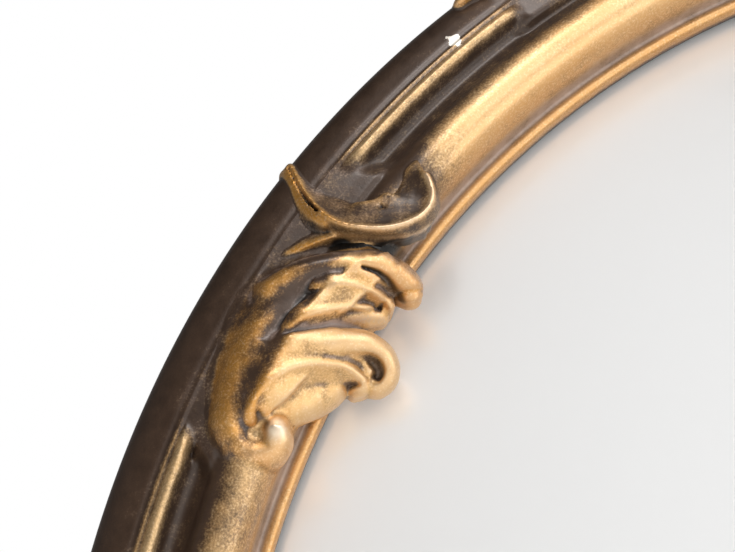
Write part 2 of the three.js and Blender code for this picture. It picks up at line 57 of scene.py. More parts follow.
GAP = 0.3  # between pieces that touch
EDGE_R = 299.6  # the rim as it is drawn here, just inside the solid's
BACK = WALL_GAP - EDGE_H  # the ring's back, over the rim's edge
GLASS_T, DOME_RISE, BOARD_H = 3.0, 38.0, 9.0
DOME_R = (GLASS_R**2 + DOME_RISE**2) / (2 * DOME_RISE)
DOME_C = BOARD_H + GAP + GLASS_T - (DOME_R - DOME_RISE)
FLAT_R = 280.0  # the radius whose length a corner casting's flat block keeps
CORNERS = {"upper_left": (150, 1), "upper_right": (30, -1), "lower_left": (210, -1), "lower_right": (-30, 1)}
CRESTS = {"crest_top": 90, "crest_bottom": 270}


def placed(name, data):
    """A new object in the scene."""
    made = bpy.data.objects.new(name, data)
    bpy.context.scene.collection.objects.link(made)
    return made


# ---- camera: the photograph's, from the rim's and the sight edge's curves ----
# It stands 0.47 m from the carving, low and to the left of the axis.
LENS_PIXELS, PHOTO_WIDTH, SENSOR = 1800.0, 735.0, 36.0
camera = placed("camera", bpy.data.cameras.new("camera"))
camera.data.sensor_width = SENSOR
camera.data.lens = LENS_PIXELS / PHOTO_WIDTH * SENSOR
camera.data.clip_start, camera.data.clip_end = 0.01, 20.0
camera.matrix_world = Matrix((
    (0.9981, -0.0211, -0.0580, -0.25027),
    (-0.0618, -0.3415, -0.9378, -0.47043),
    (0.0000, 0.9396, -0.3421, -0.01999),
    (0, 0, 0, 1)))
bpy.context.scene.camera = camera
bpy.context.scene.view_settings.view_transform = "Standard"


# ---- carving in numbers ----
def through(rows, count):
    """Smooth line through rows of numbers: Hermite cubics whose slopes are the rows' own differences
    over chord length, sampled at even steps of that length."""
    p = np.array(rows, float)
    t = np.concatenate([[0], np.cumsum(np.linalg.norm(np.diff(p[:, :3], axis=0), axis=1))])
    slope = np.gradient(p, t, axis=0)
    u = np.linspace(0, t[-1], count)
    i = np.clip(np.searchsorted(t, u, side="right") - 1, 0, len(t) - 2)
    w = (t[i + 1] - t[i])[:, None]
    x = (u - t[i])[:, None] / w
    return ((2 * x**3 - 3 * x**2 + 1) * p[i] + (x**3 - 2 * x**2 + x) * w * slope[i]
            + (3 * x**2 - 2 * x**3) * p[i + 1] + (x**3 - x**2) * w * slope[i + 1])


def step(x, a, b):
    """Rises smoothly from 0 at a to 1 at b: 3t squared less 2t cubed."""
    t = np.clip((x - a) / (b - a), 0, 1)
    return t * t * (3 - 2 * t)


def wobble(x, y, z, size, seed):
    """Uneven hand-worked surface: a sum of sines of three directions with irrational ratios."""
    k = 2 * np.pi / size
    return (np.sin(k * (x + 0.37 * y) + seed) * np.cos(k * (0.83 * y - 0.51 * z) + 1.7 * seed)
            + 0.6 * np.sin(k * (1.71 * x - 1.13 * y + 0.7 * z) + 2.3 * seed)
            + 0.4 * np.sin(k * (2.63 * y + 1.39 * x) + 3.1 * seed)) / 2.0


# Front of the moulding from the rim's edge to the sight edge: radius, rise.
MOULDING = [
    (299.6, 0), (299.3, 1.7), (298.3, 3.3), (295.6, 5.6), (292.4, 7.3), (289.6, 8.3), (288.8, 8.3),
    (288.4, 8.8), (288.1, 9.3), (287.7, 9.35), (287.3, 8.9), (287, 9.2), (286.6, 10.1), (285.8, 11.1),
    (284.9, 11.4), (284, 10.9), (283.1, 9.3), (281.8, 7.2), (280, 6.45), (278.6, 6.9), (277.3, 8),
    (276.5, 8.6), (275.9, 9.7), (274.2, 11.9), (272, 13.2), (269.6, 13.9), (267.2, 13.8), (264.9, 12.5),
    (263, 9.9), (261.6, 6.3), (260.8, 2.4), (260.35, -0.4), (259.6, -1.7), (258.8, -1.3), (258.1, -0.85),
    (257, -0.8), (256.2, -1.9), (255.8, -4)]
FRONT = through(MOULDING, 86)
GROUND_AT = [262, 270, 274, 277, 281, 285, 287.4, 288.2, 288.8, 291]
GROUND_TO = [13, 13.9, 12.2, 11, 9.9, 9.1, 8.6, 9, 8.4, 7.8]


def ground_share(a, r, kind):
    """How far the mouldings have died into smooth ground beside a casting, 0 to 1: a soft window in the
    angle a from the casting's centre, times one in the radius. The window's ends slant with the radius."""
    if kind == "scroll":
        low = step(a, -8.0 + 0.10 * (r - 285), -6.4 + 0.10 * (r - 285))
        high = 1 - step(a, 10.1 - 0.16 * (r - 282), 11.3 - 0.16 * (r - 282))
        return low * high * step(r, 273.5, 277.5) * (1 - step(r, 288.4, 290.4))
    low = 1 - step(np.abs(a), 39.2, 40.6)
    return low * step(r, 278, 281) * (1 - step(r, 291.5, 294.5))


def ground_rise(r):
    """Smooth ground that the mouldings die into: a straight slope from the band up to the torus, with one
    fine line near its outer end."""
    return np.interp(r, GROUND_AT, GROUND_TO)


def bead_pit(a, r):
    """Depth of the small pit at a bead's lower end: 3.2 mm times e to the minus squares of the distance
    along the bead over 1.7 mm and of the distance across it over 1 mm."""
    return 3.2 * np.exp(-(((a - 10.9) * 4.9 / 1.7) ** 2 + (r - 283.0) ** 2))


def surface_rise(a, r, kind):
    """Rise of the ring's front at an angle from a casting's centre and a radius; far down inside the sight
    edge, where there is no moulding, and a little down past the rim."""
    order = np.argsort(FRONT[:, 0])
    rise = np.interp(r, FRONT[order, 0], FRONT[order, 1])
    rise = rise + ground_share(a, r, kind) * (ground_rise(r) - rise)
    if kind == "scroll":
        rise = rise - bead_pit(a, r)
    return np.where(r < SIGHT_R, -40.0, np.where(r > EDGE_R, -2.5, rise))


def flat_rows(rows, reference=FLAT_R):
    """Rows of [degrees, inward, rise, half width, half depth] as a flat block's coordinates."""
    rows = np.array(rows, float)
    rows[:, 0] = np.radians(rows[:, 0]) * reference
    rows[:, 1] = RIM_R - rows[:, 1]
    return rows


class Block:
    """A block of distances to a carved form, negative inside it, on an even grid."""

    def __init__(self, low, high, cell, reference=FLAT_R):
        self.cell, self.reference = cell, reference
        self.axes = [np.arange(a, b, cell, dtype=np.float32) for a, b in zip(low, high)]
        self.low = np.array([a[0] for a in self.axes])
        self.field = np.full([len(a) for a in self.axes], 9.0, np.float32)

    def part(self, low, high):
        """The grid inside a box: its slices and its points."""
        cut = tuple(slice(max(int((l - a[0]) / self.cell), 0), max(int((h - a[0]) / self.cell) + 2, 0))
                    for a, l, h in zip(self.axes, low, high))
        x, y, z = np.meshgrid(*[a[c] for a, c in zip(self.axes, cut)], indexing="ij")
        return cut, x, y, z


def blend(a, b, k):
    """Smooth union of two distances over a width k."""
    h = np.clip(0.5 + 0.5 * (b - a) / k, 0, 1)
    return b + (a - b) * h - k * h * (1 - h)


def sweep(block, rows, margin):
    """Distance to an ellipse carried along a path: each point is measured across, above and past the
    nearest of the path's close samples, in half widths and half depths."""
    path = through(flat_rows(rows, block.reference), max(24, 7 * len(rows)))
    c, a, b = path[:, :3], np.maximum(path[:, 3], 0.4), np.maximum(path[:, 4], 0.4)
    t = np.gradient(c, axis=0)
    pace = np.linalg.norm(t, axis=1)
    t /= pace[:, None]
    across = np.stack([t[:, 1], -t[:, 0], 0 * a], 1)
    across /= np.linalg.norm(across, axis=1)[:, None]
    up = np.cross(across, t)
    up *= np.sign(up[:, 2:3])
    reach = np.maximum(a, b)[:, None] + margin
    cut, x, y, z = block.part((c - reach).min(0), (c + reach).max(0))
    p = np.stack([x, y, z], -1).reshape(-1, 3).astype(np.float32)
    w = np.array([1, 1, 0.5], np.float32)
    near = ((c * w) ** 2).sum(1)[None].astype(np.float32) - 2 * (p * w) @ (c * w).T.astype(np.float32)
    i = near.argmin(1)
    d = p - c[i]
    along = (d * t[i]).sum(1)
    past = np.where(i == 0, -along, np.where(i == len(c) - 1, along, 0)).clip(0)
    side = along.clip(-pace[i], pace[i]) / pace[i]
    aa = a[i] + np.gradient(a)[i] * side
    bb = b[i] + np.gradient(b)[i] * side
    q = np.stack([(d * across[i]).sum(1), (d * up[i]).sum(1), past], -1)
    k0 = np.sqrt((q[:, 0] / aa) ** 2 + (q[:, 1] / bb) ** 2 + (q[:, 2] / aa) ** 2)
    k1 = np.sqrt((q[:, 0] / aa**2) ** 2 + (q[:, 1] / bb**2) ** 2 + (q[:, 2] / aa**2) ** 2) + 1e-6
    return cut, (k0 * (k0 - 1) / k1).reshape(x.shape).astype(np.float32)


def add(block, rows, k):
    """Grows a swept form onto the block over a width k."""
    cut, d = sweep(block, rows, 3 + k)
    block.field[cut] = blend(block.field[cut], d, k)


def gouge(block, rows, k):
    """Takes a swept form out of the block with an edge k wide."""
    cut, d = sweep(block, rows, 3 + k)
    block.field[cut] = -blend(-block.field[cut], d, k)


FOLD_T = 7.5  # thickness of a leaf's fold under its crest


def fold(block, rows, k):
    """Grows a leaf's fold onto the block: a crest line that falls away on either side. Rows are [degrees,
    inward, crest rise, then width, drop and power for the left side of travel and for the right]. At a
    share t of a side's width the surface lies the drop times t to the power under the crest; a power
    under one is a hollow cup, over one a rounded back. The fold is FOLD_T thick under its crest."""
    path = through(flat_rows(rows, block.reference), max(30, 9 * len(rows)))
    c, crest, sides = path[:, :2], path[:, 2], np.maximum(path[:, 3:9], 0.3)
    t = np.gradient(c, axis=0)
    pace = np.linalg.norm(t, axis=1)
    t /= pace[:, None]
    reach = np.maximum(sides[:, 0], sides[:, 3])[:, None] + 1.5
    low = np.append((c - reach).min(0), block.low[2])
    high = np.append((c + reach).max(0), crest.max() + 2)
    cut, x, y, z = block.part(low, high)
    flat = np.stack([x[:, :, 0], y[:, :, 0]], -1)
    p = flat.reshape(-1, 2)
    near = ((c**2).sum(1)[None] - 2 * p @ c.T).argmin(1)
    d = p - c[near]
    along = (d * t[near]).sum(1)
    over = np.where(near == 0, -along, np.where(near == len(c) - 1, along, 0)).clip(0)
    share = along.clip(-pace[near], pace[near]) / pace[near]
    left = d[:, 0] * t[near][:, 1] - d[:, 1] * t[near][:, 0]
    side = sides[near] + np.gradient(sides, axis=0)[near] * share[:, None]
    top = crest[near] + np.gradient(crest)[near] * share
    width, drop, power = [np.where(left > 0, side[:, i], side[:, i + 3]) for i in range(3)]
    away = np.sqrt(left**2 + over**2 + 0.09) - 0.3
    surface = (top - drop * (away / width) ** power).reshape(flat.shape[:2])[:, :, None]
    beyond = (away - width).reshape(flat.shape[:2])[:, :, None]
    under = (top - FOLD_T).reshape(flat.shape[:2])[:, :, None] - z
    field = np.maximum(np.maximum((z - surface) * 0.8, beyond * 0.9), under).astype(np.float32)
    block.field[cut] = blend(block.field[cut], field, k)


def skin(block):
    """Surface where the block's distance is nought: one point in each cell that it crosses, at the middle
    of its crossings of the cell's edges, and one four-sided face about each grid edge that it crosses."""
    f = block.field
    inside = f < 0
    n = np.array(f.shape) - 1
    corner = [(i, j, k) for i in (0, 1) for j in (0, 1) for k in (0, 1)]
    count = sum(inside[i:i + n[0], j:j + n[1], k:k + n[2]].astype(np.int8) for i, j, k in corner)
    cells = np.argwhere((count > 0) & (count < 8))
    values = {o: f[cells[:, 0] + o[0], cells[:, 1] + o[1], cells[:, 2] + o[2]] for o in corner}
    total, hits = np.zeros((len(cells), 3)), np.zeros(len(cells))
    for axis in range(3):
        for o in corner:
            if o[axis]:
                continue
            e = tuple(v + (axis == m) for m, v in enumerate(o))
            a, b = values[o], values[e]
            cross = (a < 0) != (b < 0)
            t = np.where(cross, a / np.where(cross, a - b, 1), 0)
            spot = np.array(o, float) + t[:, None] * np.eye(3)[axis]
            total += spot * cross[:, None]
            hits += cross
    points = block.low + (cells + total / hits[:, None]) * block.cell
    index = np.full(n, -1, np.int64)
    index[tuple(cells.T)] = np.arange(len(cells))
    faces = []
    for axis in range(3):
        u, v = (axis + 1) % 3, (axis + 2) % 3
        a = np.take(inside, range(0, f.shape[axis] - 1), axis)
        b = np.take(inside, range(1, f.shape[axis]), axis)
        at = np.argwhere(a != b)
        at = at[(at[:, u] > 0) & (at[:, v] > 0) & (at[:, u] < n[u]) & (at[:, v] < n[v])]
        out = a[tuple(at.T)]
        quad = []
        for du, dv in ((1, 1), (0, 1), (0, 0), (1, 0)):
            cell = at.copy()
            cell[:, u] -= du
            cell[:, v] -= dv
            quad.append(index[tuple(cell.T)])
        quad = np.stack(quad, 1)
        faces.append(np.where(out[:, None], quad, quad[:, ::-1]))
    return points, np.concatenate(faces)


def neighbours(faces):
    """Both ends of every edge of the faces, each way round."""
    pairs = np.concatenate([faces, np.roll(faces, -1, 1)]).reshape(2, -1)
    return np.concatenate([pairs, pairs[::-1]], 1)


def gathered(index, rows, count):
    """Sum of the rows that have each number of the index."""
    return np.stack([np.bincount(index, rows[:, c], count) for c in range(rows.shape[1])], 1)


def soften(values, pairs, times):
    """Each row moved half way to the mean of its neighbours' rows, a number of times."""
    values = values.copy()
    degree = np.bincount(pairs[0], minlength=len(values)).clip(1)
    for _ in range(times):
        mean = gathered(pairs[0], values[pairs[1]], len(values)) / degree[:, None]
        values += 0.5 * (mean - values)
    return values


def face_normals(points, faces):
    """Unit normals at the points: the sum of the crossed diagonals of the faces round each."""
    n = np.cross(points[faces[:, 2]] - points[faces[:, 0]], points[faces[:, -1]] - points[faces[:, 1]])
    total = gathered(faces.ravel(), np.repeat(n, faces.shape[1], axis=0), len(points))
    return total / (np.linalg.norm(total, axis=1)[:, None] + 1e-9)


def compact(faces, *tables):
    """Faces renumbered without the points that none of them uses, and the tables' rows for the rest."""
    used = np.unique(faces)
    number = np.full(len(tables[0]), -1)
    number[used] = np.arange(len(used))
    return number[faces], *[table[used] for table in tables]


def largest(points, faces):
    """Only the biggest connected piece of a surface: the lowest number is passed on along the edges until
    it settles."""
    pairs = neighbours(faces)
    label = np.arange(len(points))
    while True:
        new = label.copy()
        np.minimum.at(new, pairs[0], label[pairs[1]])
        new = new[new]
        if (new == label).all():
            break
        label = new
    keep = label == np.bincount(label).argmax()
    faces, points = compact(faces[keep[faces[:, 0]]], points)
    return points, faces


# ---- rocaille scroll and shell ----
# Rows of a swept form or a gouge: [degrees, inward, rise, half width, half depth]. Rows of nine are folds.
GROUND = [
    [9.4, 23.4, 2, 6, 6], [7.7, 20.6, 3, 8, 6.5], [4.32, 19.1, 3.5, 10, 7], [1.08, 20, 3.5, 11, 7],
    [-1.08, 22, 3.5, 8, 6]]
BODY = [
    [0.55, 25.3, 8, 5, 7], [1.76, 22.7, 8.1, 6.6, 7.5], [3.59, 21.8, 8, 7.2, 8], [5.68, 21.8, 8, 6.8, 8.2],
    [7.78, 22.9, 8, 6.2, 8.2], [9.2, 24.7, 8, 5.8, 8], [9.89, 27.9, 8.1, 5.2, 7.5],
    [10.05, 32.2, 8.4, 4.8, 7], [9.55, 35.5, 8.8, 4.6, 6.8], [8.88, 36.6, 9.6, 4.2, 6.4]]
EYE = [[8.55, 35.6, 10.8, 4.1, 6], [8.21, 34.9, 11.6, 3.6, 5.6]]
WEB = [
    [6.88, 31.9, 6.8, 4.5, 6], [5.83, 34.5, 6.1, 6, 6.5], [4.82, 37.9, 4.5, 6.5, 6.5],
    [4.19, 41.9, 2.4, 5.4, 6], [3.71, 43.6, 0.4, 3.4, 5]]
WEB_LOW = [
    [6.92, 35, 5.6, 4.5, 6], [5.94, 38, 3.8, 5, 6], [4.86, 41.2, 1, 4.6, 5.6], [4.09, 43.3, -1.2, 3.2, 5]]
MASS = [
    [2.33, 26.2, 7.2, 7, 7], [1.12, 31.1, 5.1, 8.5, 7.5], [-0.1, 36.1, 2.8, 8, 7],
    [-0.96, 40.5, 0.8, 6.4, 6], [-1.32, 42.7, 0, 4.6, 5]]
LOBE_BIG = [
    [4.04, 29.6, 11.2, 4.8, 7], [3.1, 35.9, 10.1, 5, 7.5], [2.13, 41.4, 8.2, 5, 8],
    [1.56, 46.4, 6.5, 4.8, 7.5], [1.56, 50.5, 4.8, 4.4, 6.8], [2.02, 53.2, 3.6, 3.8, 5.8],
    [2.71, 53.9, 2.8, 3.1, 4.8], [3.27, 52.6, 2.4, 2.5, 4], [3.4, 50.6, 2.4, 2, 3.6]]
LOBE_END = [
    [1.53, 18.2, 9.4, 4, 7], [0.23, 21.8, 10.6, 4.4, 7], [-0.87, 26.8, 10.9, 4.6, 7.5],
    [-1.91, 32.8, 10.7, 4.6, 7.5], [-2.74, 38.8, 8.4, 5, 8], [-3.05, 43.5, 5.8, 5.2, 8],
    [-2.99, 46.4, 3.8, 4.8, 7.4], [-2.85, 47.3, 3, 4.2, 6.4]]
POCKET = [[8.15, 30.1, 18, 0.4, 2.2], [8.34, 31, 17.6, 0.8, 2.6], [8.52, 32.9, 17.6, 0.6, 2.4]]
BIG_EYE = [
    [2.77, 44.1, 15.8, 0.5, 2.4], [2.38, 47.1, 14.4, 1, 3.4], [2.24, 49.8, 12.4, 1.6, 4.4],
    [2.48, 51.7, 10.6, 1.8, 4.6], [2.99, 51.8, 8.6, 1.4, 4]]
GROOVE_SECOND = [
    [3.65, 25.9, 18.5, 0.8, 3], [2.8, 30.2, 19.2, 1.2, 4], [1.84, 35, 18.4, 1.5, 4.4],
    [0.88, 39.3, 16.4, 1.5, 4.6], [0.05, 43.3, 13.6, 1.4, 4.6], [-0.43, 46.7, 11, 1.2, 4.6]]
SLIT_END = [
    [-1.84, 35.5, 18.8, 0.4, 2.4], [-2.1, 38.5, 18.2, 0.6, 3], [-2.23, 41.9, 16.6, 0.8, 3.6],
    [-2.12, 44.6, 14.6, 0.9, 4], [-2.19, 47.1, 11, 0.8, 3.4]]
CRACK = [
    [-2.49, 25.7, 13.2, 0.4, 2.6], [-2.85, 28, 15.4, 0.9, 3], [-3.39, 31.7, 16.2, 0.9, 3],
    [-3.95, 35.4, 16.2, 0.9, 3], [-4.63, 39, 14.6, 0.9, 3], [-5.3, 42.7, 11, 0.4, 3]]
HORN_SLIT = [
    [-5.31, 0.8, 4, 0.3, 1.6], [-4.94, 3.5, 5.8, 0.45, 2.2], [-4.41, 7.4, 8.6, 0.5, 2.6],
    [-3.9, 11.7, 11.6, 0.5, 2.8], [-3.48, 16.5, 14.2, 0.3, 2.4]]
EYE_FLOOR = [[2.68, 48.2, 3.6, 3.4, 5], [2.54, 51.1, 3.6, 3.2, 4.6]]
HEIGHTS = [
    [-2.54, 35.8, 17.6, 5, 2, 1.5, 3, 3.5, 1.3], [-1.2, 33.3, 18.4, 6, 2.6, 1.5, 3, 5, 1.3],
    [0.49, 30.6, 18.8, 7, 3.4, 1.5, 3, 5.4, 1.3], [2.06, 29.2, 19.2, 7.5, 3.8, 1.5, 3.2, 5, 1.3],
    [3.44, 28.4, 19.4, 7.5, 4, 1.5, 3.6, 4.6, 1.3], [4.4, 29.3, 19.6, 7.5, 4.2, 1.5, 6, 3.6, 1.3],
    [5.49, 28.8, 20, 7, 4.4, 1.5, 6, 4, 1.3], [6.84, 27.9, 20, 6, 4.2, 1.5, 4, 3.6, 1.3],
    [7.87, 27.8, 18.4, 4, 3, 1.5, 3, 2.4, 1.3]]
LEAF_FOURTH = [
    [0.41, 29.2, 18.2, 3, 1.2, 2, 0.8, 1.2, 1.2], [-0.1, 32.2, 19, 4.4, 1.8, 2, 1.2, 4.6, 1],
    [-0.51, 35.2, 18.6, 4.6, 2.4, 2, 1.4, 6, 1], [-0.95, 39.2, 16.6, 4.2, 3, 2, 1.5, 6.4, 1],
    [-1.25, 42.5, 13.4, 3.4, 3.2, 2, 1.4, 6, 1], [-1.32, 44.2, 10.6, 2.6, 2.8, 2, 1.2, 4.6, 1],
    [-1.17, 44.2, 8.6, 1.8, 2, 2, 1, 3, 1]]
LEAF_THIRD = [
    [3.2, 27.3, 18.6, 2, 0.8, 2, 0.8, 1, 1.2], [2.4, 29.2, 19.4, 3.5, 1.4, 2, 1.1, 3.2, 1],
    [1.78, 31.6, 19.2, 4.5, 2, 2, 1.2, 4.2, 1], [1.05, 34.7, 17.8, 4.2, 2.6, 2, 1.2, 4.6, 1],
    [0.35, 37.7, 15.4, 3.2, 3, 2, 1.2, 4.6, 1], [-0.32, 41.2, 12.2, 2.2, 2.8, 2, 1, 3.8, 1]]
LEAF_SECOND = [
    [3.7, 26.5, 18, 1, 1, 1.2, 2, 1.8, 1.4], [2.71, 29.2, 17.6, 1, 1.2, 1.2, 3, 3.6, 1.4],
    [1.83, 32.8, 16.4, 1, 1.4, 1.2, 3.2, 4.4, 1.4], [0.85, 36.8, 13.8, 1, 1.6, 1.2, 3.2, 4.4, 1.4],
    [-0.07, 40.8, 10.8, 1.2, 1.8, 1.2, 3, 3.8, 1.4], [-0.75, 44.3, 7.8, 1.4, 1.8, 1.2, 2.4, 2.8, 1.4]]
C_RIDGE = [
    [8.48, 28.4, 17.4, 1.4, 1.6, 1.4, 1.4, 2, 1.2], [8.17, 27.9, 18.6, 1.6, 2, 1.4, 2, 3, 1.2],
    [7.63, 27.8, 19.8, 1.8, 2.2, 1.4, 2.8, 5, 1], [7, 28.4, 20.4, 2.2, 2.2, 1.4, 3.6, 6.4, 0.9],
    [6.29, 29.7, 20.6, 3, 2.2, 1.4, 4, 7, 0.9], [5.61, 31.4, 20.2, 4, 2, 1.4, 4, 7, 0.9],
    [5.03, 33.6, 19.2, 4.6, 1.8, 1.4, 3.8, 6.6, 0.9], [4.42, 36.4, 17.6, 4.8, 1.6, 1.4, 3.6, 6, 0.9],
    [3.9, 39.8, 15.6, 4.6, 1.6, 1.4, 3.4, 5.4, 0.9], [3.46, 43.4, 13.2, 3.4, 1.8, 1.4, 3, 4.8, 0.9],
    [3.34, 46.7, 11, 2.2, 2, 1.4, 2.6, 4.2, 1], [3.44, 49, 9, 2, 2.2, 1.4, 2.2, 3.4, 1.2],
    [3.7, 49.6, 7.4, 1.8, 2.2, 1.4, 2, 2.6, 1.4], [3.96, 48.4, 6.2, 1.6, 2, 1.4, 1.6, 2.2, 1.4]]
SHELL_LIP = [
    [-5.05, 1.2, 4, 1, 1.2, 1.3, 1.6, 3, 1.2], [-4.37, 5.6, 6.6, 0.9, 1.2, 1.3, 2, 3.6, 1.2],
    [-3.64, 10.9, 9.6, 0.9, 1.4, 1.3, 2.2, 4.2, 1.2], [-3.18, 16.2, 12.6, 1, 1.6, 1.3, 2.2, 4.6, 1.2],
    [-3.07, 20.2, 14.6, 1.2, 1.4, 1.3, 2, 4.4, 1.2]]
SHELL_RIM = [
    [-5.34, 1, 5, 1.6, 2.4, 0.8, 1.2, 3.4, 1.4], [-4.73, 5.4, 8.2, 3.2, 3, 0.7, 1.2, 4, 1.4],
    [-3.99, 11.2, 12, 5, 4.2, 0.65, 1.4, 5, 1.4], [-3.47, 17.6, 15.6, 7, 5.2, 0.65, 1.8, 5, 1.3],
    [-3.34, 23.8, 18, 8.4, 5.4, 0.65, 2, 4.6, 1.2], [-3.79, 30, 19.4, 9.4, 5.4, 0.65, 2, 4.6, 1.2],
    [-4.59, 35.3, 19.8, 10.6, 5.2, 0.65, 2, 4.6, 1.2], [-5.47, 38.4, 19.8, 12, 5, 0.6, 2, 4.6, 1.2],
    [-6.55, 40, 19.4, 13.4, 4.8, 0.55, 2.2, 5, 1.2], [-7.47, 39.4, 19, 13.4, 4.6, 0.55, 2.4, 6, 1.2],
    [-8.13, 37, 18.6, 11, 4.2, 0.6, 2.4, 6, 1.2], [-8.6, 33.8, 17.8, 6, 3.6, 0.7, 2, 5, 1.2]]
SHELL_RIDGE = [
    [-0.53, 14.5, 8.4, 1.6, 1.6, 1.4, 1.2, 1.8, 1.2], [-1.02, 16.4, 9.6, 2.2, 2.2, 1.4, 1.2, 2.4, 1.2],
    [-1.53, 18.3, 10.8, 2.6, 2.6, 1.4, 1.2, 2.6, 1.2], [-2.05, 20.5, 12, 2.8, 2.8, 1.4, 1.1, 2.6, 1.2],
    [-2.55, 22.7, 13.2, 2.8, 2.6, 1.4, 1, 2.6, 1.2], [-3.11, 26, 14.6, 2.8, 2, 1.4, 0.9, 2.5, 1.2],
    [-3.74, 30.5, 15.6, 2.8, 1.6, 1.4, 0.9, 2.5, 1.2], [-4.56, 35.8, 15.2, 2.8, 1.6, 1.4, 0.9, 2.5, 1.2],
    [-5.36, 39.3, 14.2, 2.8, 1.6, 1.4, 0.9, 2.5, 1.2], [-6.25, 41.4, 13.4, 2.6, 1.6, 1.4, 1, 2.5, 1.2]]
# pits: degrees, inward, rise, radius
CRACK_PITS = [
    (-0.01, 17, 9.5, 0.5), (-0.14, 17.8, 10, 0.45), (-0.39, 18.9, 10.5, 0.55), (-0.5, 19.6, 10.6, 0.35),
    (-0.78, 21, 11, 0.6), (-1.03, 22.4, 11, 0.4), (-2.58, 26.5, 12.2, 0.6), (-3.06, 28.5, 12, 0.55),
    (-3.35, 30.7, 11.6, 0.5), (-3.79, 33, 11, 0.5), (-4.6, 37.7, 9.8, 0.5), (-5.15, 40.9, 8.4, 0.6),
    (-5.4, 42.6, 7.6, 0.5), (1.9, 32.9, 17, 0.3), (1.66, 33.8, 17, 0.3), (1.12, 35.6, 16, 0.3),
    (-0.34, 44.5, 9.8, 0.4), (-0.58, 45.1, 9, 0.35), (-5.56, 29.6, 15.2, 0.6), (-5.62, 31, 15.4, 0.5),
    (-5.79, 32, 15.6, 0.4), (10.56, 30.6, 10.5, 0.35)]


def cut_to_seat(block, kind, forms):
    """Joins the form to the ring's skin with a small fillet, and keeps what lies near the form, over the
    moulding (sunk 1 mm in it) and clear of the glass."""
    x, y, z = np.meshgrid(*block.axes, indexing="ij", sparse=True)
    a = np.degrees(x / block.reference)
    rise = surface_rise(a, y, kind).astype(np.float32)
    ring = (z - np.where(y > 299.4, -40, rise) + 0.25) * 0.85
    near = forms - 3.0
    block.field = np.maximum(blend(forms, np.maximum(ring, near), 1.6), near)
    glass = DOME_C + np.sqrt(DOME_R**2 - y**2) - EDGE_H + 1.2
    under = np.where(y < SIGHT_R - 0.2, glass - z, rise - 1.0 - z)
    block.field = np.maximum(block.field, under.astype(np.float32))


def pits(block, spots):
    """Small round air holes of the casting: balls taken out of the block."""
    for a, inward, rise, size in spots:
        c = flat_rows([[a, inward, rise]], block.reference)[0]
        cut, x, y, z = block.part(c - size - 1.5, c + size + 1.5)
        d = np.sqrt((x - c[0]) ** 2 + (y - c[1]) ** 2 + (z - c[2]) ** 2) - size
        block.field[cut] = np.maximum(block.field[cut], -d)


def roughen(block, size, depth, seed):
    """Moves the surface by an uneven amount, as hand-finished plaster is."""
    x, y, z = np.meshgrid(*block.axes, indexing="ij", sparse=True)
    block.field = block.field + (depth * wobble(x, y, z, size, seed)).astype(np.float32)


def shell_form(cell):
    """Cupped shell: a rim that rises from a horn and curls up again at its end, a hollow cup on one side
    and a steep back on the other, a second lip under the horn, and a ridge at its foot."""
    block = Block((-50, 256, -6), (8, 302, 22), cell)
    for rows, k in ((SHELL_RIDGE, 1), (SHELL_LIP, 0.6), (SHELL_RIM, 0.7)):
        fold(block, rows, k)
    for rows in (CRACK, HORN_SLIT):
        gouge(block, rows, 0.3)
    return block


def scroll_form(cell):
    """Rocaille scroll: a broad S body that rises to a ridge of heights, a head that curls round a ball, a
    C-shaped ridge, and leaf lobes that roll over towards the glass, parted by gouged slits."""
    block = Block((-34, 236, -8), (64, 300, 25), cell)
    for rows, k in ((GROUND, 1), (BODY, 3.0), (MASS, 3.0), (WEB, 2.5), (WEB_LOW, 2.5), (EYE_FLOOR, 2.0),
                    (LOBE_END, 2.6), (LOBE_BIG, 2.2)):
        add(block, rows, k)
    fold(block, HEIGHTS, 2.5)
    for rows, k in ((GROOVE_SECOND, 1.6), (SLIT_END, 1.0), (BIG_EYE, 1.0)):
        gouge(block, rows, k)
    for rows, k in ((LEAF_FOURTH, 0.5), (LEAF_THIRD, 0.5), (LEAF_SECOND, 0.6), (C_RIDGE, 0.9)):
        fold(block, rows, k)
    gouge(block, POCKET, 1.6)
    add(block, EYE, 1.4)
    gouge(block, CRACK, 0.3)
    return block


# ---- putting the pieces in ----
def world(phi, r, rise):
    """Angle in degrees, radius and rise over the rim's edge as metres: x and z from the polar place, and y
    towards the viewer."""
    a = np.radians(phi)
    return np.stack([r * np.cos(a), -(EDGE_H + rise) + 0 * a, r * np.sin(a)], -1) / 1000


def put(name, points, faces, body, material, replaces, paint=None):
    """One piece from whole arrays: points in metres, faces of three or four, with faces turned out by the
    sign of the volume that they enclose. Paint is a table of numbers kept at each point."""
    q = points[faces]
    volume = sum((q[:, 0] * np.cross(q[:, i], q[:, i + 1])).sum() for i in range(1, faces.shape[1] - 1))
    faces = faces if volume > 0 else faces[:, ::-1]
    mesh = bpy.data.meshes.new(name)
    mesh.vertices.add(len(points))
    mesh.vertices.foreach_set("co", points.astype(np.float32).ravel())
    mesh.loops.add(faces.size)
    mesh.loops.foreach_set("vertex_index", faces.astype(np.int32).ravel())
    mesh.polygons.add(len(faces))
    mesh.polygons.foreach_set("loop_start", np.arange(0, faces.size, faces.shape[1], dtype=np.int32))
    mesh.polygons.foreach_set("loop_total", np.full(len(faces), faces.shape[1], np.int32))
    mesh.polygons.foreach_set("use_smooth", np.full(len(faces), True))
    for key, values in (paint or {}).items():
        mesh.attributes.new(key, "FLOAT", "POINT").data.foreach_set("value", values.astype(np.float32))
    mesh.update(calc_edges=True)
    mesh.validate()
    mesh.materials.append(material)
    made = placed(name, mesh)
    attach(made, body)
    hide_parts(*replaces)
    return made


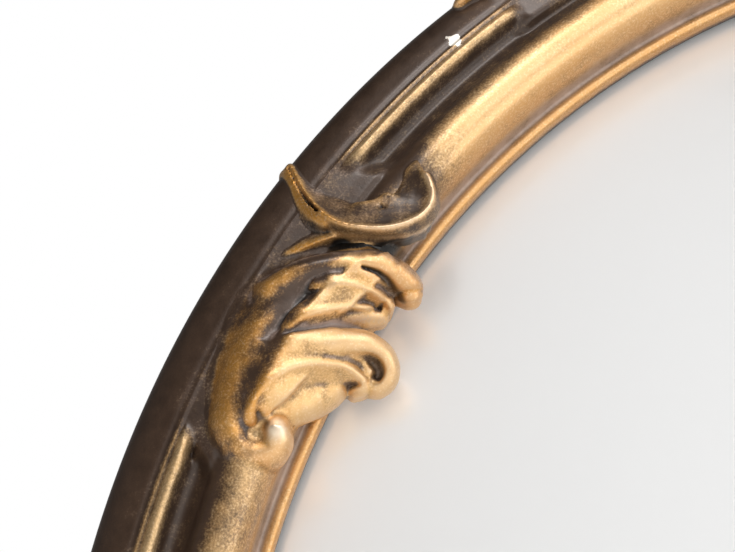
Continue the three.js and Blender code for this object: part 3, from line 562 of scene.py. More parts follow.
def wrapped(rows, columns, close_rows, close_columns):
    """Four-sided faces of a grid of points, joined round either way where it is closed."""
    i, j = np.meshgrid(np.arange(rows if close_rows else rows - 1),
                       np.arange(columns if close_columns else columns - 1), indexing="ij")
    a, b = (i + 1) % rows, (j + 1) % columns
    return np.stack([i * columns + j, a * columns + j, a * columns + b, i * columns + b], -1).reshape(-1, 4)


# ---- finishes ----
def linear(code):
    """sRGB hex to linear."""
    c = np.array([int(code[i:i + 2], 16) for i in (1, 3, 5)]) / 255
    return (*np.where(c <= 0.04045, c / 12.92, ((c + 0.055) / 1.055) ** 2.4), 1.0)


def fill(tree, made, settings):
    """Sets a node. A setting's key is a socket's name or number, or a property's name; its value may be a
    colour's hex code, or another node's output, which is linked."""
    for key, value in settings.items():
        if isinstance(value, bpy.types.NodeSocket):
            tree.links.new(value, made.inputs[key])
        elif isinstance(key, int) or key in made.inputs:
            made.inputs[key].default_value = linear(value) if isinstance(value, str) else value
        else:
            setattr(made, key, value)


def node(tree, kind, settings, out=0):
    """Adds a node with its settings and links, and gives one of its outputs."""
    made = tree.nodes.new(kind)
    fill(tree, made, settings)
    return None if out is None else made.outputs[out]


def finish(name):
    """A new material with its tree, its shader and its object coordinates."""
    made = bpy.data.materials.new(name)
    made.use_nodes = True
    tree = made.node_tree
    return made, tree, tree.nodes["Principled BSDF"], node(tree, "ShaderNodeTexCoord", {}, "Object")


CHIP_AT = (-0.1993, -0.0312, 0.2096)  # in metres, on the upper left of the bead


def antique_gilding_and_painted_light():
    """Bronze-gold leaf paint over dark umber size on cast resin, rubbed by hand and washed with a lilac-grey
    glaze: satin metal on the crests, matt dark paint where the gold is rubbed through, grey in the hollows,
    and a fine grain of 0.5 mm from the powder in the paint. Painted light is mixed in as well: near-black
    painted shade, pale painted highlights on the rubbed crests and paler painted glints in the grain. The
    share of each is the painter's number at the point, broken up by rubbed patches of 5 mm and by the grain."""
    made, tree, shader, at = finish("antique_gilding_and_painted_light")
    # the painter's numbers at each point: gold leaf, grey glaze, near-black painted shade, hue, and rubbing,
    # which sets the coat and the pale painted highlights
    gold, grey, deep, hue, polish_and_highlight = [
        node(tree, "ShaderNodeAttribute", {"attribute_name": key}, "Fac")
        for key in ("gold", "grey", "deep", "hue", "polish_and_highlight")]
    grain, patch, cloud = [
        node(tree, "ShaderNodeTexNoise", {"Vector": at, "Scale": scale, "Detail": detail, "Roughness": 0.6})
        for scale, detail in ((1700.0, 2.0), (210.0, 4.0), (45.0, 3.0))]
    # shares of leaf and of glaze, sharp enough that the grain shows as specks
    shares = []
    for share, fine, broad, low, high, most in ((gold, 0.85, 0.8, 0.86, 1.84, 1.0),
                                                (grey, 0.6, 0.9, 0.95, 1.75, 0.85)):
        for noise, weight in ((grain, fine), (patch, broad)):
            share = node(tree, "ShaderNodeMath", {"operation": "MULTIPLY_ADD", 0: noise, 1: weight, 2: share})
        shares.append(node(tree, "ShaderNodeMapRange",
                           {"interpolation_type": "SMOOTHSTEP", 0: share, 1: low, 2: high, 4: most}))
    leafed, glazed = shares
    warm = node(tree, "ShaderNodeMath", {"operation": "MULTIPLY_ADD", 0: cloud, 1: 0.7, 2: hue})
    warm = node(tree, "ShaderNodeMapRange", {0: warm, 1: 0.35, 2: 1.35})
    # paler specks where the grain is high: painted glints
    painted_glint = node(tree, "ShaderNodeMapRange", {0: grain, 1: 0.52, 2: 0.72, 4: 0.4})
    # pale painted highlights where the crests are rubbed
    tone_shift = node(tree, "ShaderNodeMath", {"operation": "MULTIPLY", 0: polish_and_highlight, 1: 0.55})
    # a chip of 3 mm on the bead, down to the white gesso
    off = node(tree, "ShaderNodeVectorMath", {"operation": "DISTANCE", 0: at, 1: CHIP_AT}, "Value")
    off = node(tree, "ShaderNodeMath", {"operation": "MULTIPLY_ADD", 0: patch, 1: 0.009, 2: off})
    chip = node(tree, "ShaderNodeMapRange", {0: off, 1: 0.0058, 2: 0.0062, 3: 1.0, 4: 0.0})
    # each colour is mixed by a share from two others: the leaf runs from copper rose to olive yellow and is
    # paler in painted glints on the grain and in painted highlights where it is rubbed; near black is painted
    # shade
    mixed = {}
    for key, share, first, second in (
            ("leaf", warm, "#dcb680", "#cc9040"), ("leaf", painted_glint, "leaf", "#f2dab4"),
            ("leaf", tone_shift, "leaf", "#faeedd"), ("umber", patch, "#33241a", "#573f2d"),
            ("glaze", patch, "#6f5c55", "#b8a092"), ("all", leafed, "umber", "leaf"),
            ("all", glazed, "all", "glaze"), ("all", deep, "all", "#0d0805"),
            ("all", chip, "all", "#e8dfd2")):
        first, second = mixed.get(first, first), mixed.get(second, second)
        mixed[key] = node(tree, "ShaderNodeMix", {"data_type": "RGBA", 0: share, 6: first, 7: second}, 2)
    metal = node(tree, "ShaderNodeMath", {"operation": "MULTIPLY_ADD", 0: leafed, 1: 0.5, 2: 0.3})
    metal = node(tree, "ShaderNodeMath",
                 {"operation": "MULTIPLY_ADD", "use_clamp": True, 0: glazed, 1: -0.4, 2: metal})
    rubbed = node(tree, "ShaderNodeMath",
                  {"operation": "MULTIPLY_ADD", "use_clamp": True, 0: polish_and_highlight, 1: 0.5, 2: 0.3})
    dull = node(tree, "ShaderNodeMapRange", {0: patch, 1: 0.25, 2: 0.8, 3: 0.36, 4: 0.52})
    height = node(tree, "ShaderNodeMath", {"operation": "MULTIPLY_ADD", 0: grain, 1: 0.35, 2: patch})
    bump = node(tree, "ShaderNodeBump", {"Strength": 0.3, "Distance": 0.0004, "Height": height})
    fill(tree, shader, {"Base Color": mixed["all"], "Metallic": metal, "Roughness": dull,
                        "Coat Weight": rubbed, "Coat Roughness": 0.26, "Normal": bump})
    return made


def silvered_glass():
    """Soda-lime glass silvered on its back and lit as a pale card: a soft mirror of the studio under the
    clear gloss of the glass, with faint bands left by the bending mould."""
    made, tree, shader, at = finish("silvered_glass")
    band = node(tree, "ShaderNodeTexNoise", {"Vector": at, "Scale": 5.0, "Detail": 1.0})
    colour = node(tree, "ShaderNodeMix", {"data_type": "RGBA", 0: band, 6: "#f7f7f7", 7: "#f1f1f1"}, 2)
    fill(tree, shader, {"Base Color": colour, "Metallic": 0.3, "Roughness": 0.33, "Coat Weight": 0.6,
                        "Coat Roughness": 0.02})
    return made


def plain(name, first, second, scale, metallic, rough, bump, distance=0.0002):
    """A finish of two close colours broken by noise of one size, which also roughens and lifts it."""
    made, tree, shader, at = finish(name)
    noise = node(tree, "ShaderNodeTexNoise", {"Vector": at, "Scale": scale, "Detail": 4.0, "Roughness": 0.6})
    share = node(tree, "ShaderNodeMapRange", {0: noise, 1: 0.3, 2: 0.7})
    colour = node(tree, "ShaderNodeMix", {"data_type": "RGBA", 0: share, 6: first, 7: second}, 2)
    dull = node(tree, "ShaderNodeMapRange", {0: share, 3: rough[0], 4: rough[1]})
    lift = node(tree, "ShaderNodeBump", {"Strength": bump, "Distance": distance, "Height": noise})
    fill(tree, shader, {"Base Color": colour, "Metallic": metallic, "Roughness": dull, "Normal": lift})
    return made


GILDING = antique_gilding_and_painted_light()
GLASS = silvered_glass()
# wool felt, needled: matt black, fibres of 0.3 mm
FELT = plain("black_wool_felt", "#1c1b1a", "#34322f", 2500, 0.0, (0.9, 1.0), 0.6, 0.0004)
# wet-pressed hardboard: brown fibre mat, flecked, slightly polished by the press
HARDBOARD = plain("pressed_hardboard", "#5f4329", "#86633f", 620, 0.0, (0.6, 0.85), 0.35, 0.0003)
# steel strip plated with brass: bright yellow, dulled by handling
BRASSED = plain("brass_plated_strip", "#b08d4a", "#d6b56b", 420, 1.0, (0.22, 0.4), 0.08)
# turned screw steel, zinc plated: cool grey with turning marks too fine to show but as a light haze
SCREW = plain("zinc_plated_steel", "#9d9fa1", "#c3c5c6", 900, 1.0, (0.25, 0.42), 0.08)
# moulded nitrile rubber: soft black, matt
RUBBER = plain("moulded_rubber", "#171717", "#262625", 800, 0.0, (0.6, 0.8), 0.2)
# oil paint on the back of the silvering: brick grey, brushed
BACKING_PAINT = plain("mirror_backing_paint", "#7d7a75", "#8f8b85", 90, 0.0, (0.5, 0.7), 0.1)

# ---- frame ring ----
# Paint across the front by radius: radius, gold, grey, deep, hue (0 copper-brown to 1 yellow gold). Deep is
# near-black painted shade: on the rim's outer rounding, beside the fillet, in the hollow and at the sight
# edge.
BANDS = np.array([
    (300.5, -.3, -.2, .55, .2), (297, -.25, -.1, .38, .2), (294, -.12, .05, .18, .2),
    (290, -.02, .2, .05, .2), (289, 0, .2, .3, .2), (288.4, .35, .2, .1, .5), (288, .6, .1, 0, .5),
    (287.5, .25, .3, .2, .2), (287.1, .35, .25, .05, .1), (286.4, .65, .1, 0, .1), (284.6, .75, .1, 0, .1),
    (283.7, .5, .2, .1, .1), (282.8, .12, .25, .35, .1), (280, .04, .18, .3, .1), (278.2, .05, .14, .3, .2),
    (276.8, .12, .08, .32, .4), (275, .2, .02, .22, .4), (273, .52, 0, .04, .5), (271, .85, 0, 0, .5),
    (268, .97, 0, 0, .3), (265, 1, 0, 0, .4), (262.6, 1, 0, 0, .8), (261.3, .8, .3, 0, .8),
    (260.5, .55, .8, 0, .2), (259.4, .5, 1, 0, .1), (258.7, .75, .6, 0, .4), (258, .9, .15, 0, .6),
    (256.6, 1, 0, 0, .8), (255.8, .85, 0, 0, 1), (255, .3, 0, .3, .5)])


def band_paint(r):
    """Gold, grey, deep and hue at a radius, in a straight line between the rows of the table."""
    rows = BANDS[::-1]
    return [np.interp(r, rows[:, 0], rows[:, k]) for k in (1, 2, 3, 4)]


def ground_paint(paint, share, wave):
    """The ring's paint moved by a share to that of the smooth ground beside the castings: bare size with a
    thin uneven glaze, and a little gold where the wave is high."""
    gold, grey, deep, hue = paint
    return [gold + share * (0.22 * wave - 0.06 - gold), grey + share * (0.34 - 0.25 * wave - grey),
            deep + share * (0.14 - deep), hue]


def dulled(a, r):
    """Less gold on the large half-round: two bell-shaped bands of the angle, just above a shell and just
    below a scroll."""
    share = 0.45 * np.exp(-(((a - 13.5) / 4.5) ** 2)) + 0.80 * np.exp(-(((a + 8.2) / 2.3) ** 2))
    return share * step(r, 260, 263) * (1 - step(r, 275, 278))


def apart(points, rows, drop, tall=1):
    """Distance of points to the line of a fold's or a gouge's rows; drop 1 takes a gouge's floor, and tall 0
    leaves the rise out."""
    line = through(flat_rows(rows), 50)
    line[:, 2] -= drop * line[:, 4]
    gap = np.full(len(points), 99.0)
    for spot in line[:, :3]:
        gap = np.minimum(gap, np.sqrt((((points - spot) * [1, 1, tall]) ** 2).sum(1)))
    return gap


def beside(points, rows, width, drop=0):
    """1 on the line of some rows, and less away from it: e to the minus square of the distance over a
    width."""
    return np.exp(-((apart(points, rows, drop) / width) ** 2))


def ring_angles():
    """Angles round the ring, close together where a moulding ends beside a casting."""
    weight_at = np.linspace(0, 360, 7201)
    weight = np.full_like(weight_at, 1.0)
    for centre, mirror in CORNERS.values():
        for low, high in ((-9.2, -1.5), (8.8, 12.4)):
            off = (weight_at - centre + 180) % 360 - 180
            weight[(off * mirror > low) & (off * mirror < high)] = 4.0
    for centre in CRESTS.values():
        off = np.abs((weight_at - centre + 180) % 360 - 180)
        weight[(off > 38.6) & (off < 41.4)] = 3.0
    total = np.concatenate([[0], np.cumsum((weight[1:] + weight[:-1]) / 2)])
    return np.interp(np.linspace(0, total[-1], 1021)[:-1], total, weight_at)


def frame_ring():
    """The moulding's profile carried round the axis. Beside each casting the profile's rise moves to the
    smooth ground by the ground's share; a small pit marks the lower end of each bead."""
    phi = ring_angles()
    back = np.array([(SIGHT_R, LIP_FACE), (REBATE_R, LIP_FACE), (REBATE_R, BACK + 0.4),
                     (REBATE_R + 0.4, BACK), (280, BACK), (298, BACK), (298.5, BACK + 0.5), (EDGE_R, -4)])
    r = np.concatenate([FRONT[:, 0], back[:, 0]])
    rise = np.concatenate([FRONT[:, 1], back[:, 1]])
    front = np.arange(len(r)) < len(FRONT)
    big_phi, big_r = np.meshgrid(phi, r, indexing="ij")
    z = np.broadcast_to(rise, big_r.shape).copy()
    smooth_share, tone_shift, joint = np.zeros_like(z), np.zeros_like(z), np.zeros_like(z)
    for kind, spots in (("scroll", CORNERS.values()), ("crest", [(c, 1) for c in CRESTS.values()])):
        for centre, mirror in spots:
            a = ((big_phi - centre + 180) % 360 - 180) * mirror
            near = (np.abs(a) < 46) & front
            share = np.where(near, ground_share(a, big_r, kind), 0)
            z += share * (ground_rise(big_r) - z)
            if kind == "scroll":
                z -= np.where(near, bead_pit(a, big_r), 0)
                tone_shift = np.maximum(tone_shift, np.where(near, dulled(a, big_r), 0))
                # near-black painted shadow on the ring at the foot of the joint between shell and scroll
                close = near & (a > -8) & (a < 0)
                flat = np.stack([np.radians(a[close]) * FLAT_R, big_r[close], z[close]], -1)
                joint[close] = (1 - step(apart(flat, CRACK, 1, 0), 1.5, 2.6)) * step(big_r[close], 259, 262)
            smooth_share = np.maximum(smooth_share, share)
    a = np.radians(big_phi)
    z += np.where(front, 0.10 * wobble(40 * np.cos(3 * a), big_r * 0.5, 40 * np.sin(2 * a), 23.0, 1.0), 0)
    wave = 0.5 + 0.5 * wobble(big_phi * 4.9, big_r, z, 17.0, 2.0)
    gold, grey, deep, hue = ground_paint(band_paint(big_r), smooth_share, wave)
    gold, deep = gold - tone_shift, np.maximum(deep, joint)
    gold, grey = np.where(front, gold, 0.03), np.where(front, grey, 0.05)
    points = world(big_phi, big_r, z).reshape(-1, 3)
    # rubbing follows the gold: the coat and pale painted highlights
    paint = {"gold": gold.ravel(), "grey": grey.ravel(), "deep": deep.ravel(), "hue": hue.ravel(),
             "polish_and_highlight": 0.12 * gold.ravel()}
    put("frame_ring_moulding", points, wrapped(len(phi), len(r), True, True), "frame", GILDING,
        ["frame_ring"], paint)


frame_ring()

# ---- castings ----
CELL = 0.5


def casting(form, kind, seed):
    """A carved block made a surface: its points, its faces, the points' angles, how far each point stands
    out from the smoothed surface (its lift, more than 0 on crests), and the normals."""
    cut_to_seat(form, kind, form.field.copy())
    roughen(form, 7.0, 0.07, seed)
    if kind == "scroll":
        pits(form, CRACK_PITS)
    points, faces = largest(*skin(form))
    pairs = neighbours(faces)
    points = soften(points, pairs, 2)
    times = (0.5 / form.cell) ** 2
    normals = face_normals(points, faces)
    q = points[faces]
    if (q[:, 0] * np.cross(q[:, 1], q[:, 2])).sum() + (q[:, 0] * np.cross(q[:, 2], q[:, 3])).sum() < 0:
        normals = -normals
    # 0.10 mm proud of the surface close by counts for as much as 0.8 mm proud of the wider surface
    fine = ((points - soften(points, pairs, max(2, int(10 * times)))) * normals).sum(1)
    broad = ((points - soften(points, pairs, max(6, int(90 * times)))) * normals).sum(1)
    lift = soften((fine / 0.10 + broad / 0.8)[:, None], pairs, 2)[:, 0]
    a = np.degrees(points[:, 0] / form.reference)
    return points, faces, a, lift, normals


def casting_paint(a, points, lift, normals, part):
    """Gold on what stands out, grey glaze and dark size in what lies back: bright along the folds' crests,
    near-black painted shade in the deepest hollows, in the slits and in the joint between the castings, and
    pale painted highlights on rubbed crests. The scroll is olive on its outer slope, dark on its shoulder and
    lower end as painted shade, and pale on its lobes, with its ball gilded pale as a painted highlight; the
    shell's cup is grey-brown, darkened as painted shade. Where a casting runs out on the ring it takes the
    ring's own paint."""
    r, rise = points[:, 1], points[:, 2]
    inward = RIM_R - r
    high, hollow = np.clip(lift, 0, 1.5), step(-lift, 0.2, 1.4)
    cloud = wobble(points[:, 0], r, rise, 11.0, 4.0)
    # near-black painted shade in the deepest hollows
    deep = (0.8 - 0.35 * step(inward, 34, 40)) * step(-lift, 0.9, 2.4)
    if part == "scroll":
        lobes = step(inward, 27.0, 32.0)
        # the shoulder's dark band and the lower end's loss of gold are painted shade
        shoulder = np.exp(-(((inward - 25.5) / 4.0) ** 2)) * (1 - step(a, 7.4, 9.2))
        low_end = step(a, 8.6, 10.2)
        gold = 0.60 + 0.22 * lobes + 0.34 * high - 0.45 * hollow - 0.50 * shoulder - 0.42 * low_end
        gold += 0.12 * cloud
        hue = 0.95 - 0.66 * lobes * step(a, -4.5, 0.5) * (1 - step(a, 7.2, 8.0))
        # pale painted highlights on the lobes' crests and round the ball
        tone_shift = 0.22 * lobes * step(lift, 0.1, 1.2) + 1.2 * beside(points, EYE, 2.2, -1)
        # painted shade on faces turned towards the shell in the joint: less gold, more grey
        joint = step(-normals[:, 0], 0.05, 0.6) * (1 - step(a, -0.5, 1.5))
        gold -= 0.55 * joint + 0.34 * (1 - step(a, 2.5, 5.5)) * (1 - lobes)
        grey = 0.02 + 0.50 * hollow + 0.50 * joint
        web = step(a, 5.0, 6.0) * step(inward, 31.0, 33.0)
        # the ball is gilded and paled as a painted highlight
        ball = beside(points, EYE, 3.5, -1)
        groove = beside(points, GROOVE_SECOND, 1.8, 1)
        for rows in (LEAF_FOURTH, LEAF_THIRD, C_RIDGE):
            gold += 0.30 * beside(points, rows, 1.2)
        middle = step(a, -2.0, 0.5) * (1 - step(a, 3.6, 4.6)) * (1 - step(inward, 36.0, 44.0)) * lobes
        gold += 0.15 * web + 0.8 * ball - 0.30 * middle * (1 - np.clip(high, 0, 1))
        hue = hue - 0.9 * ball
        grey += 0.60 * groove - 0.25 * web - 0.3 * ball
        deep *= (1 - 0.7 * groove) * (1 - 0.7 * web)
        # near-black painted shade in the slit and the pocket
        deep = np.maximum(deep, 0.8 * (1 - step(apart(points, SLIT_END, 1), 0.6, 2.0)))
        deep = np.maximum(deep, 0.6 * (1 - step(apart(points, POCKET, 1), 0.6, 1.8)))
    elif part == "shell":
        edge = sum(beside(points, rows, 1.4) for rows in (SHELL_RIM, SHELL_LIP, SHELL_RIDGE)).clip(0, 1)
        cup = (1 - edge) * step(inward, 27.0, 33.0)
        gold = 0.24 + 0.20 * high + 0.80 * edge - 0.12 * cup + 0.12 * cloud
        grey = 0.28 * (1 - edge) - 0.10 * cup + 0.2 * hollow
        hue = 0.5 + 0.45 * edge - 0.5 * edge * step(inward, 22.0, 36.0)
        # pale painted highlights along the rim's edges
        tone_shift = 0.6 * edge * step(inward, 18.0, 36.0)
        # painted shade on the wall that faces the scroll, in the cup and in the horn's slit
        under = step(normals[:, 0], 0.5, 0.9) * (1 - edge)
        deep = np.maximum(deep, np.maximum(0.55 * under, 0.22 * cup))
        deep = np.maximum(deep, 0.9 * (1 - step(apart(points, HORN_SLIT, 1), 0.5, 1.4)))
    else:
        gold = 0.66 + 0.36 * high - 0.35 * hollow + 0.12 * cloud
        grey, hue = 0.04 + 0.5 * hollow, 0.7 + 0.25 * cloud
        # pale painted highlights on the crest's high points
        tone_shift = 0.2 * step(lift, 0.2, 1.2)
    kind = "crest" if part == "crest" else "scroll"
    wave = 0.5 + 0.5 * wobble(points[:, 0], r, rise, 17.0, 2.0)
    own = ground_paint(band_paint(r), ground_share(a, r, kind), wave)
    own[0] = own[0] - (dulled(a, r) if part != "crest" else 0)
    over = {"scroll": (0.2, 1.2), "shell": (0.0, 0.5), "crest": (0.3, 1.6)}[part]
    proud = step(rise - surface_rise(a, r, kind), *over)
    gold, grey, deep, hue = [ring + proud * (cast - ring) for ring, cast in zip(own, (gold, grey, deep, hue))]
    if part != "crest":
        # near-black painted shadow in the joint between the castings, up to the rise where it opens
        joint = 1 - step(apart(points, CRACK, 1, 0), 1.2, 2.2)
        deep = np.maximum(deep, joint * (1 - step(rise, 13.2, 14.4)))
    return {"gold": gold, "grey": grey, "deep": deep, "hue": hue, "polish_and_highlight": proud * tone_shift.clip(0, 1)}


for part, form in (("scroll", scroll_form(CELL)), ("shell", shell_form(CELL))):
    points, faces, a, lift, normals = casting(form, "scroll", 3.0)
    paint = casting_paint(a, points, lift, normals, part)
    for where, (centre, mirror) in CORNERS.items():
        put(f"{part}_{where}_carved", world(centre + mirror * a, points[:, 1], points[:, 2]), faces, "frame",
            GILDING, [f"{part}_{where}"], paint)


# ---- crest ----
LEAF = [
    [41.4, 2.2, 2.5, 2, 5], [39.5, 1.8, 4.5, 3.4, 7], [35, 2.8, 6, 4.6, 8], [29, 3.6, 7, 5.6, 8.5],
    [23, 3, 8, 6.2, 9], [17, 0.5, 9, 6.4, 9], [13, -2, 9, 5, 8.5]]
CREST_SCROLL = [
    [25, 5, 8, 3, 7.5], [20, -2.5, 10, 4.2, 8.5], [16, -10, 11, 4.8, 9], [12.2, -14.5, 11.5, 5, 9],
    [9, -12, 12, 4.6, 9], [8.6, -6, 12, 3.6, 8]]
HOOK = [
    [13, 12, 9, 2.6, 7], [9, 16, 11, 3.6, 8], [5, 14, 12, 4, 8.5], [3, 8, 12, 4, 8.5], [2.4, 2, 12, 3.4, 8]]
PAD = [[-1, 3, 6, 10, 8], [6, 3, 5, 9, 7.5], [11, 3, 4, 8, 7]]
FAN_RIBS, FAN_SPREAD, FAN_LENGTH, FAN_ROOT, RIB_RISE = 7, 66.0, 37.9, 10.0, 2.4


def fan(block):
    """Scallop: round its root, a length that shortens to the sides and a top that swells between the root
    and the edge, both lifted at each rib by a rounded wave of the angle."""
    x, y, z = np.meshgrid(*block.axes, indexing="ij", sparse=True)
    across, up = x, y - (RIM_R - FAN_ROOT)
    turn = np.degrees(np.arctan2(across, up))
    out = np.sqrt(across**2 + up**2)
    rib = np.abs(np.cos(np.radians(turn / FAN_SPREAD * 90 * FAN_RIBS))) ** 0.8
    length = FAN_LENGTH * (0.74 + 0.26 * np.cos(np.radians(turn))) * (0.92 + 0.08 * rib)
    share = (out / length).clip(0, 1.3)
    top = np.interp(share, [0, .2, .5, .85, 1, 1.3], [12, 13.6, 15, 13, 8, 2])
    top = top + rib * RIB_RISE * step(share, .1, .6)
    side = (np.abs(turn) - FAN_SPREAD) / 57.3 * np.maximum(out, 4)
    d = np.maximum(np.maximum((z - top) * 0.8, (out - length) * 0.9), np.maximum(side, 3.5 - z))
    block.field = blend(block.field, d.astype(np.float32), 1.5)


def furrow(rows, depth):
    """Rows of a narrow groove along the top of a swept form: 0.28 of its width, and so deep."""
    rows = np.array(rows, float)
    rows[:, 2] += rows[:, 4] + 2.0 - depth
    rows[:, 3] *= 0.28
    rows[:, 4] = 2.0
    return rows


def crest_form(cell):
    """Half of the crest from its middle outwards: long leaf along the rim, a scroll and a hook, each with a
    furrow along its top, and the fan between them."""
    block = Block((-1.2, 258, -4), (224, 336, 26), cell, 300.0)
    for rows, k in ((PAD, 1), (LEAF, 2), (CREST_SCROLL, 2), (HOOK, 1.5)):
        add(block, rows, k)
    for rows in (LEAF[1:], CREST_SCROLL, HOOK):
        gouge(block, furrow(rows, 1.6), 0.9)
    fan(block)
    return block


def mirrored(points, faces, a, lift, normals):
    """A half with its mirror image across the block's middle, joined along the points of its open edge."""
    outer = ~(points[:, 0] <= 0)[faces].all(1)
    faces, points, a, lift, normals = compact(faces[outer], points, a, lift, normals)
    pairs = neighbours(faces)
    key = np.sort(pairs[:, :pairs.shape[1] // 2], 0)
    code = key[0].astype(np.int64) * len(points) + key[1]
    _, first, seen = np.unique(code, return_index=True, return_counts=True)
    edge = np.unique(key[:, first[seen == 1]])
    points[edge, 0] = 0
    a[edge] = 0
    twin = np.arange(len(points)) + len(points)
    twin[edge] = edge
    flip = [-1, 1, 1]
    halves = [(points, points * flip), (a, -a), (lift, lift), (normals, normals * flip)]
    whole = [np.concatenate(pair) for pair in halves]
    return compact(np.concatenate([faces, twin[faces][:, ::-1]]), *whole)


faces, points, a, lift, normals = mirrored(*casting(crest_form(CELL * 1.4), "crest", 5.0))
paint = casting_paint(a, points, lift, normals, "crest")
for name, centre in CRESTS.items():
    put(f"{name}_carved", world(centre + a, points[:, 1], points[:, 2]), faces, "frame",
        GILDING, [name], paint)


# ---- glass, seal and board ----
def turned(name, profile, count, body, material, replaces, centre=(0, 0)):
    """A profile of radius and height off the wall, turned about an axis at a place on the wall: each ring
    is a circle, and a ring of no radius is a pole of one point."""
    p = np.array(profile, float)
    a = np.linspace(0, 2 * np.pi, count, endpoint=False)
    solid = p[:, 0] > 1e-6
    points, start = [], []
    for (r, h), full in zip(p, solid):
        start.append(sum(len(q) for q in points))
        ring = a if full else a[:1]
        points.append(np.stack([centre[0] + r * np.cos(ring), 0 * ring - h, centre[1] + r * np.sin(ring)], 1))
    k = np.arange(count)
    faces = []
    for i in range(len(p) - (0 if solid.all() else 1)):
        j = (i + 1) % len(p)
        one = start[i] + (k if solid[i] else 0 * k)
        two = start[j] + (k if solid[j] else 0 * k)
        faces.append(np.stack([one, np.roll(one, -1), np.roll(two, -1), two], 1))
    points, faces = np.concatenate(points) / 1000, np.concatenate(faces)
    return put_mixed(name, points, faces, body, material, replaces)


def put_mixed(name, points, faces, body, material, replaces):
    """Puts in a surface whose four-sided faces may have closed to three sides at a pole: each is split
    into two three-sided ones, and the empty ones are left out."""
    tris = np.concatenate([faces[:, [0, 1, 2]], faces[:, [0, 2, 3]]])
    full = (tris[:, 0] != tris[:, 1]) & (tris[:, 1] != tris[:, 2]) & (tris[:, 0] != tris[:, 2])
    return put(name, points, tris[full], body, material, replaces)


def dome(radius, low, high, count):
    """Radius and height along the dome's section."""
    r = np.linspace(low, high, count)
    return np.stack([r, DOME_C + np.sqrt(radius**2 - r**2)], 1)


both_sides = np.concatenate([dome(DOME_R, 0, GLASS_R, 40), dome(DOME_R - GLASS_T, GLASS_R, 0, 24)])
glass = turned("mirror_glass_silvered", both_sides, 256, "frame", GLASS, ["mirror_glass"])
glass.data.materials.append(BACKING_PAINT)
# the faces that look towards the wall carry the paint over the silvering
normal = np.zeros(len(glass.data.polygons) * 3)
glass.data.polygons.foreach_get("normal", normal)
glass.data.polygons.foreach_set("material_index", (normal[1::3] > 0).astype(np.int32))

top = EDGE_H + LIP_FACE - GAP
seal = [(SIGHT_R + 1, top), (REBATE_R - 0.5, top),
        (REBATE_R - 0.5, DOME_C + np.sqrt(DOME_R**2 - GLASS_R**2) + 0.35)]
turned("glass_gasket_felt", seal, 256, "frame", FELT, ["glass_gasket"])
edge = REBATE_R - 0.8
board = [(0, WALL_GAP), (edge - 0.6, WALL_GAP), (edge, WALL_GAP + 0.6), (edge, BOARD_H - 0.3),
         (edge - 0.3, BOARD_H), (0, BOARD_H)]
turned("backing_board_pressed", board, 256, "frame", HARDBOARD, ["backing_board"])

# ---- fastenings on the back: heights are off the wall ----
SCREW_HEAD_R, SCREW_HEAD_T, SCREW_R, SCREW_L = 3.4, 1.5, 1.5, 9.0
BUTTON_COUNT, BUTTON_L, BUTTON_W, BUTTON_T, BUTTON_PIVOT_R = 6, 30.0, 10.0, 1.2, 268.0
BUTTON_REAR, BUTTON_SEAT, STRAP_SEAT = 4.5, 4.2, 4.6
STRAP_L, STRAP_W, STRAP_T, PIVOT_H = 30.0, 10.0, 0.8, 3.35
WIRE_R, D_HALF, D_CORNER, D_SIDE = 1.25, 8.0, 1.6, 3.0
BUMPER_R, BUMPER_T, BACK_R = 7.0, 5.7, 280.5
HANGER_AT = (BACK_R * np.cos(np.radians(30)), BACK_R * np.sin(np.radians(30)))


def loops(points):
    """Faces of closed loops of points that follow one another and join up again."""
    return wrapped(points.shape[0], points.shape[1], True, True)


def cross_head_screw(name, x, z, seat, turn):
    """Domed head with a cross recess, then a shank with a thread and a point. The dome falls with the
    square of the radius; the recess is 1.0 mm deep within 0.4 mm of either arm and 1.9 mm of the axis;
    the thread is a wave of height and angle with a pitch of 1 mm."""
    a = np.linspace(0, 2 * np.pi, 64, endpoint=False)
    head = np.concatenate([np.linspace(0.05, 3.0, 22), [3.2, 3.35, SCREW_HEAD_R, SCREW_HEAD_R, 3.3, SCREW_R]])
    domed = SCREW_HEAD_T - 0.9 * (head[:22] / SCREW_HEAD_R) ** 2
    drop = np.concatenate([domed, [0.66, 0.5, 0.34, 0.12, 0.0, 0.0]])
    shank = np.linspace(0.3, SCREW_L, 44)
    r = np.concatenate([head, np.full(44, SCREW_R - 0.1), [0.7, 0.05]])
    h = np.concatenate([seat - drop, seat + shank, [seat + SCREW_L + 0.8, seat + SCREW_L + 1.4]])
    big_r, big_a = np.meshgrid(r, a, indexing="ij")
    big_h = np.broadcast_to(h[:, None], big_r.shape).copy()
    arm = np.minimum(np.abs(np.sin(big_a - turn)), np.abs(np.cos(big_a - turn))) * big_r
    top = (np.arange(len(r)) < 22)[:, None]
    big_h += np.where(top, 1.0 * (1 - step(arm, 0.3, 0.5)) * (1 - step(big_r, 1.7, 2.0)), 0)
    thread = (np.arange(len(r)) >= 28)[:, None] & (np.arange(len(r)) < 72)[:, None]
    big_r = big_r + np.where(thread, 0.1 * np.cos(big_a - 2 * np.pi * big_h), 0)
    points = np.stack([x + big_r * np.cos(big_a), -big_h, z + big_r * np.sin(big_a)], -1) / 1000
    count = len(a)
    flat = points.reshape(-1, 3)
    poles = np.stack([flat[:count].mean(0), flat[-count:].mean(0)])
    side = wrapped(len(r), count, False, True)
    k = np.arange(count)
    first = np.stack([k * 0 + len(flat), (k + 1) % count, k, k * 0 + len(flat)], 1)
    last = len(flat) - count
    end = np.stack([k * 0 + len(flat) + 1, last + k, last + (k + 1) % count, k * 0 + len(flat) + 1], 1)
    put_mixed(f"{name}_turned", np.concatenate([flat, poles]), np.concatenate([side, first, end]), "frame",
              SCREW, [name])


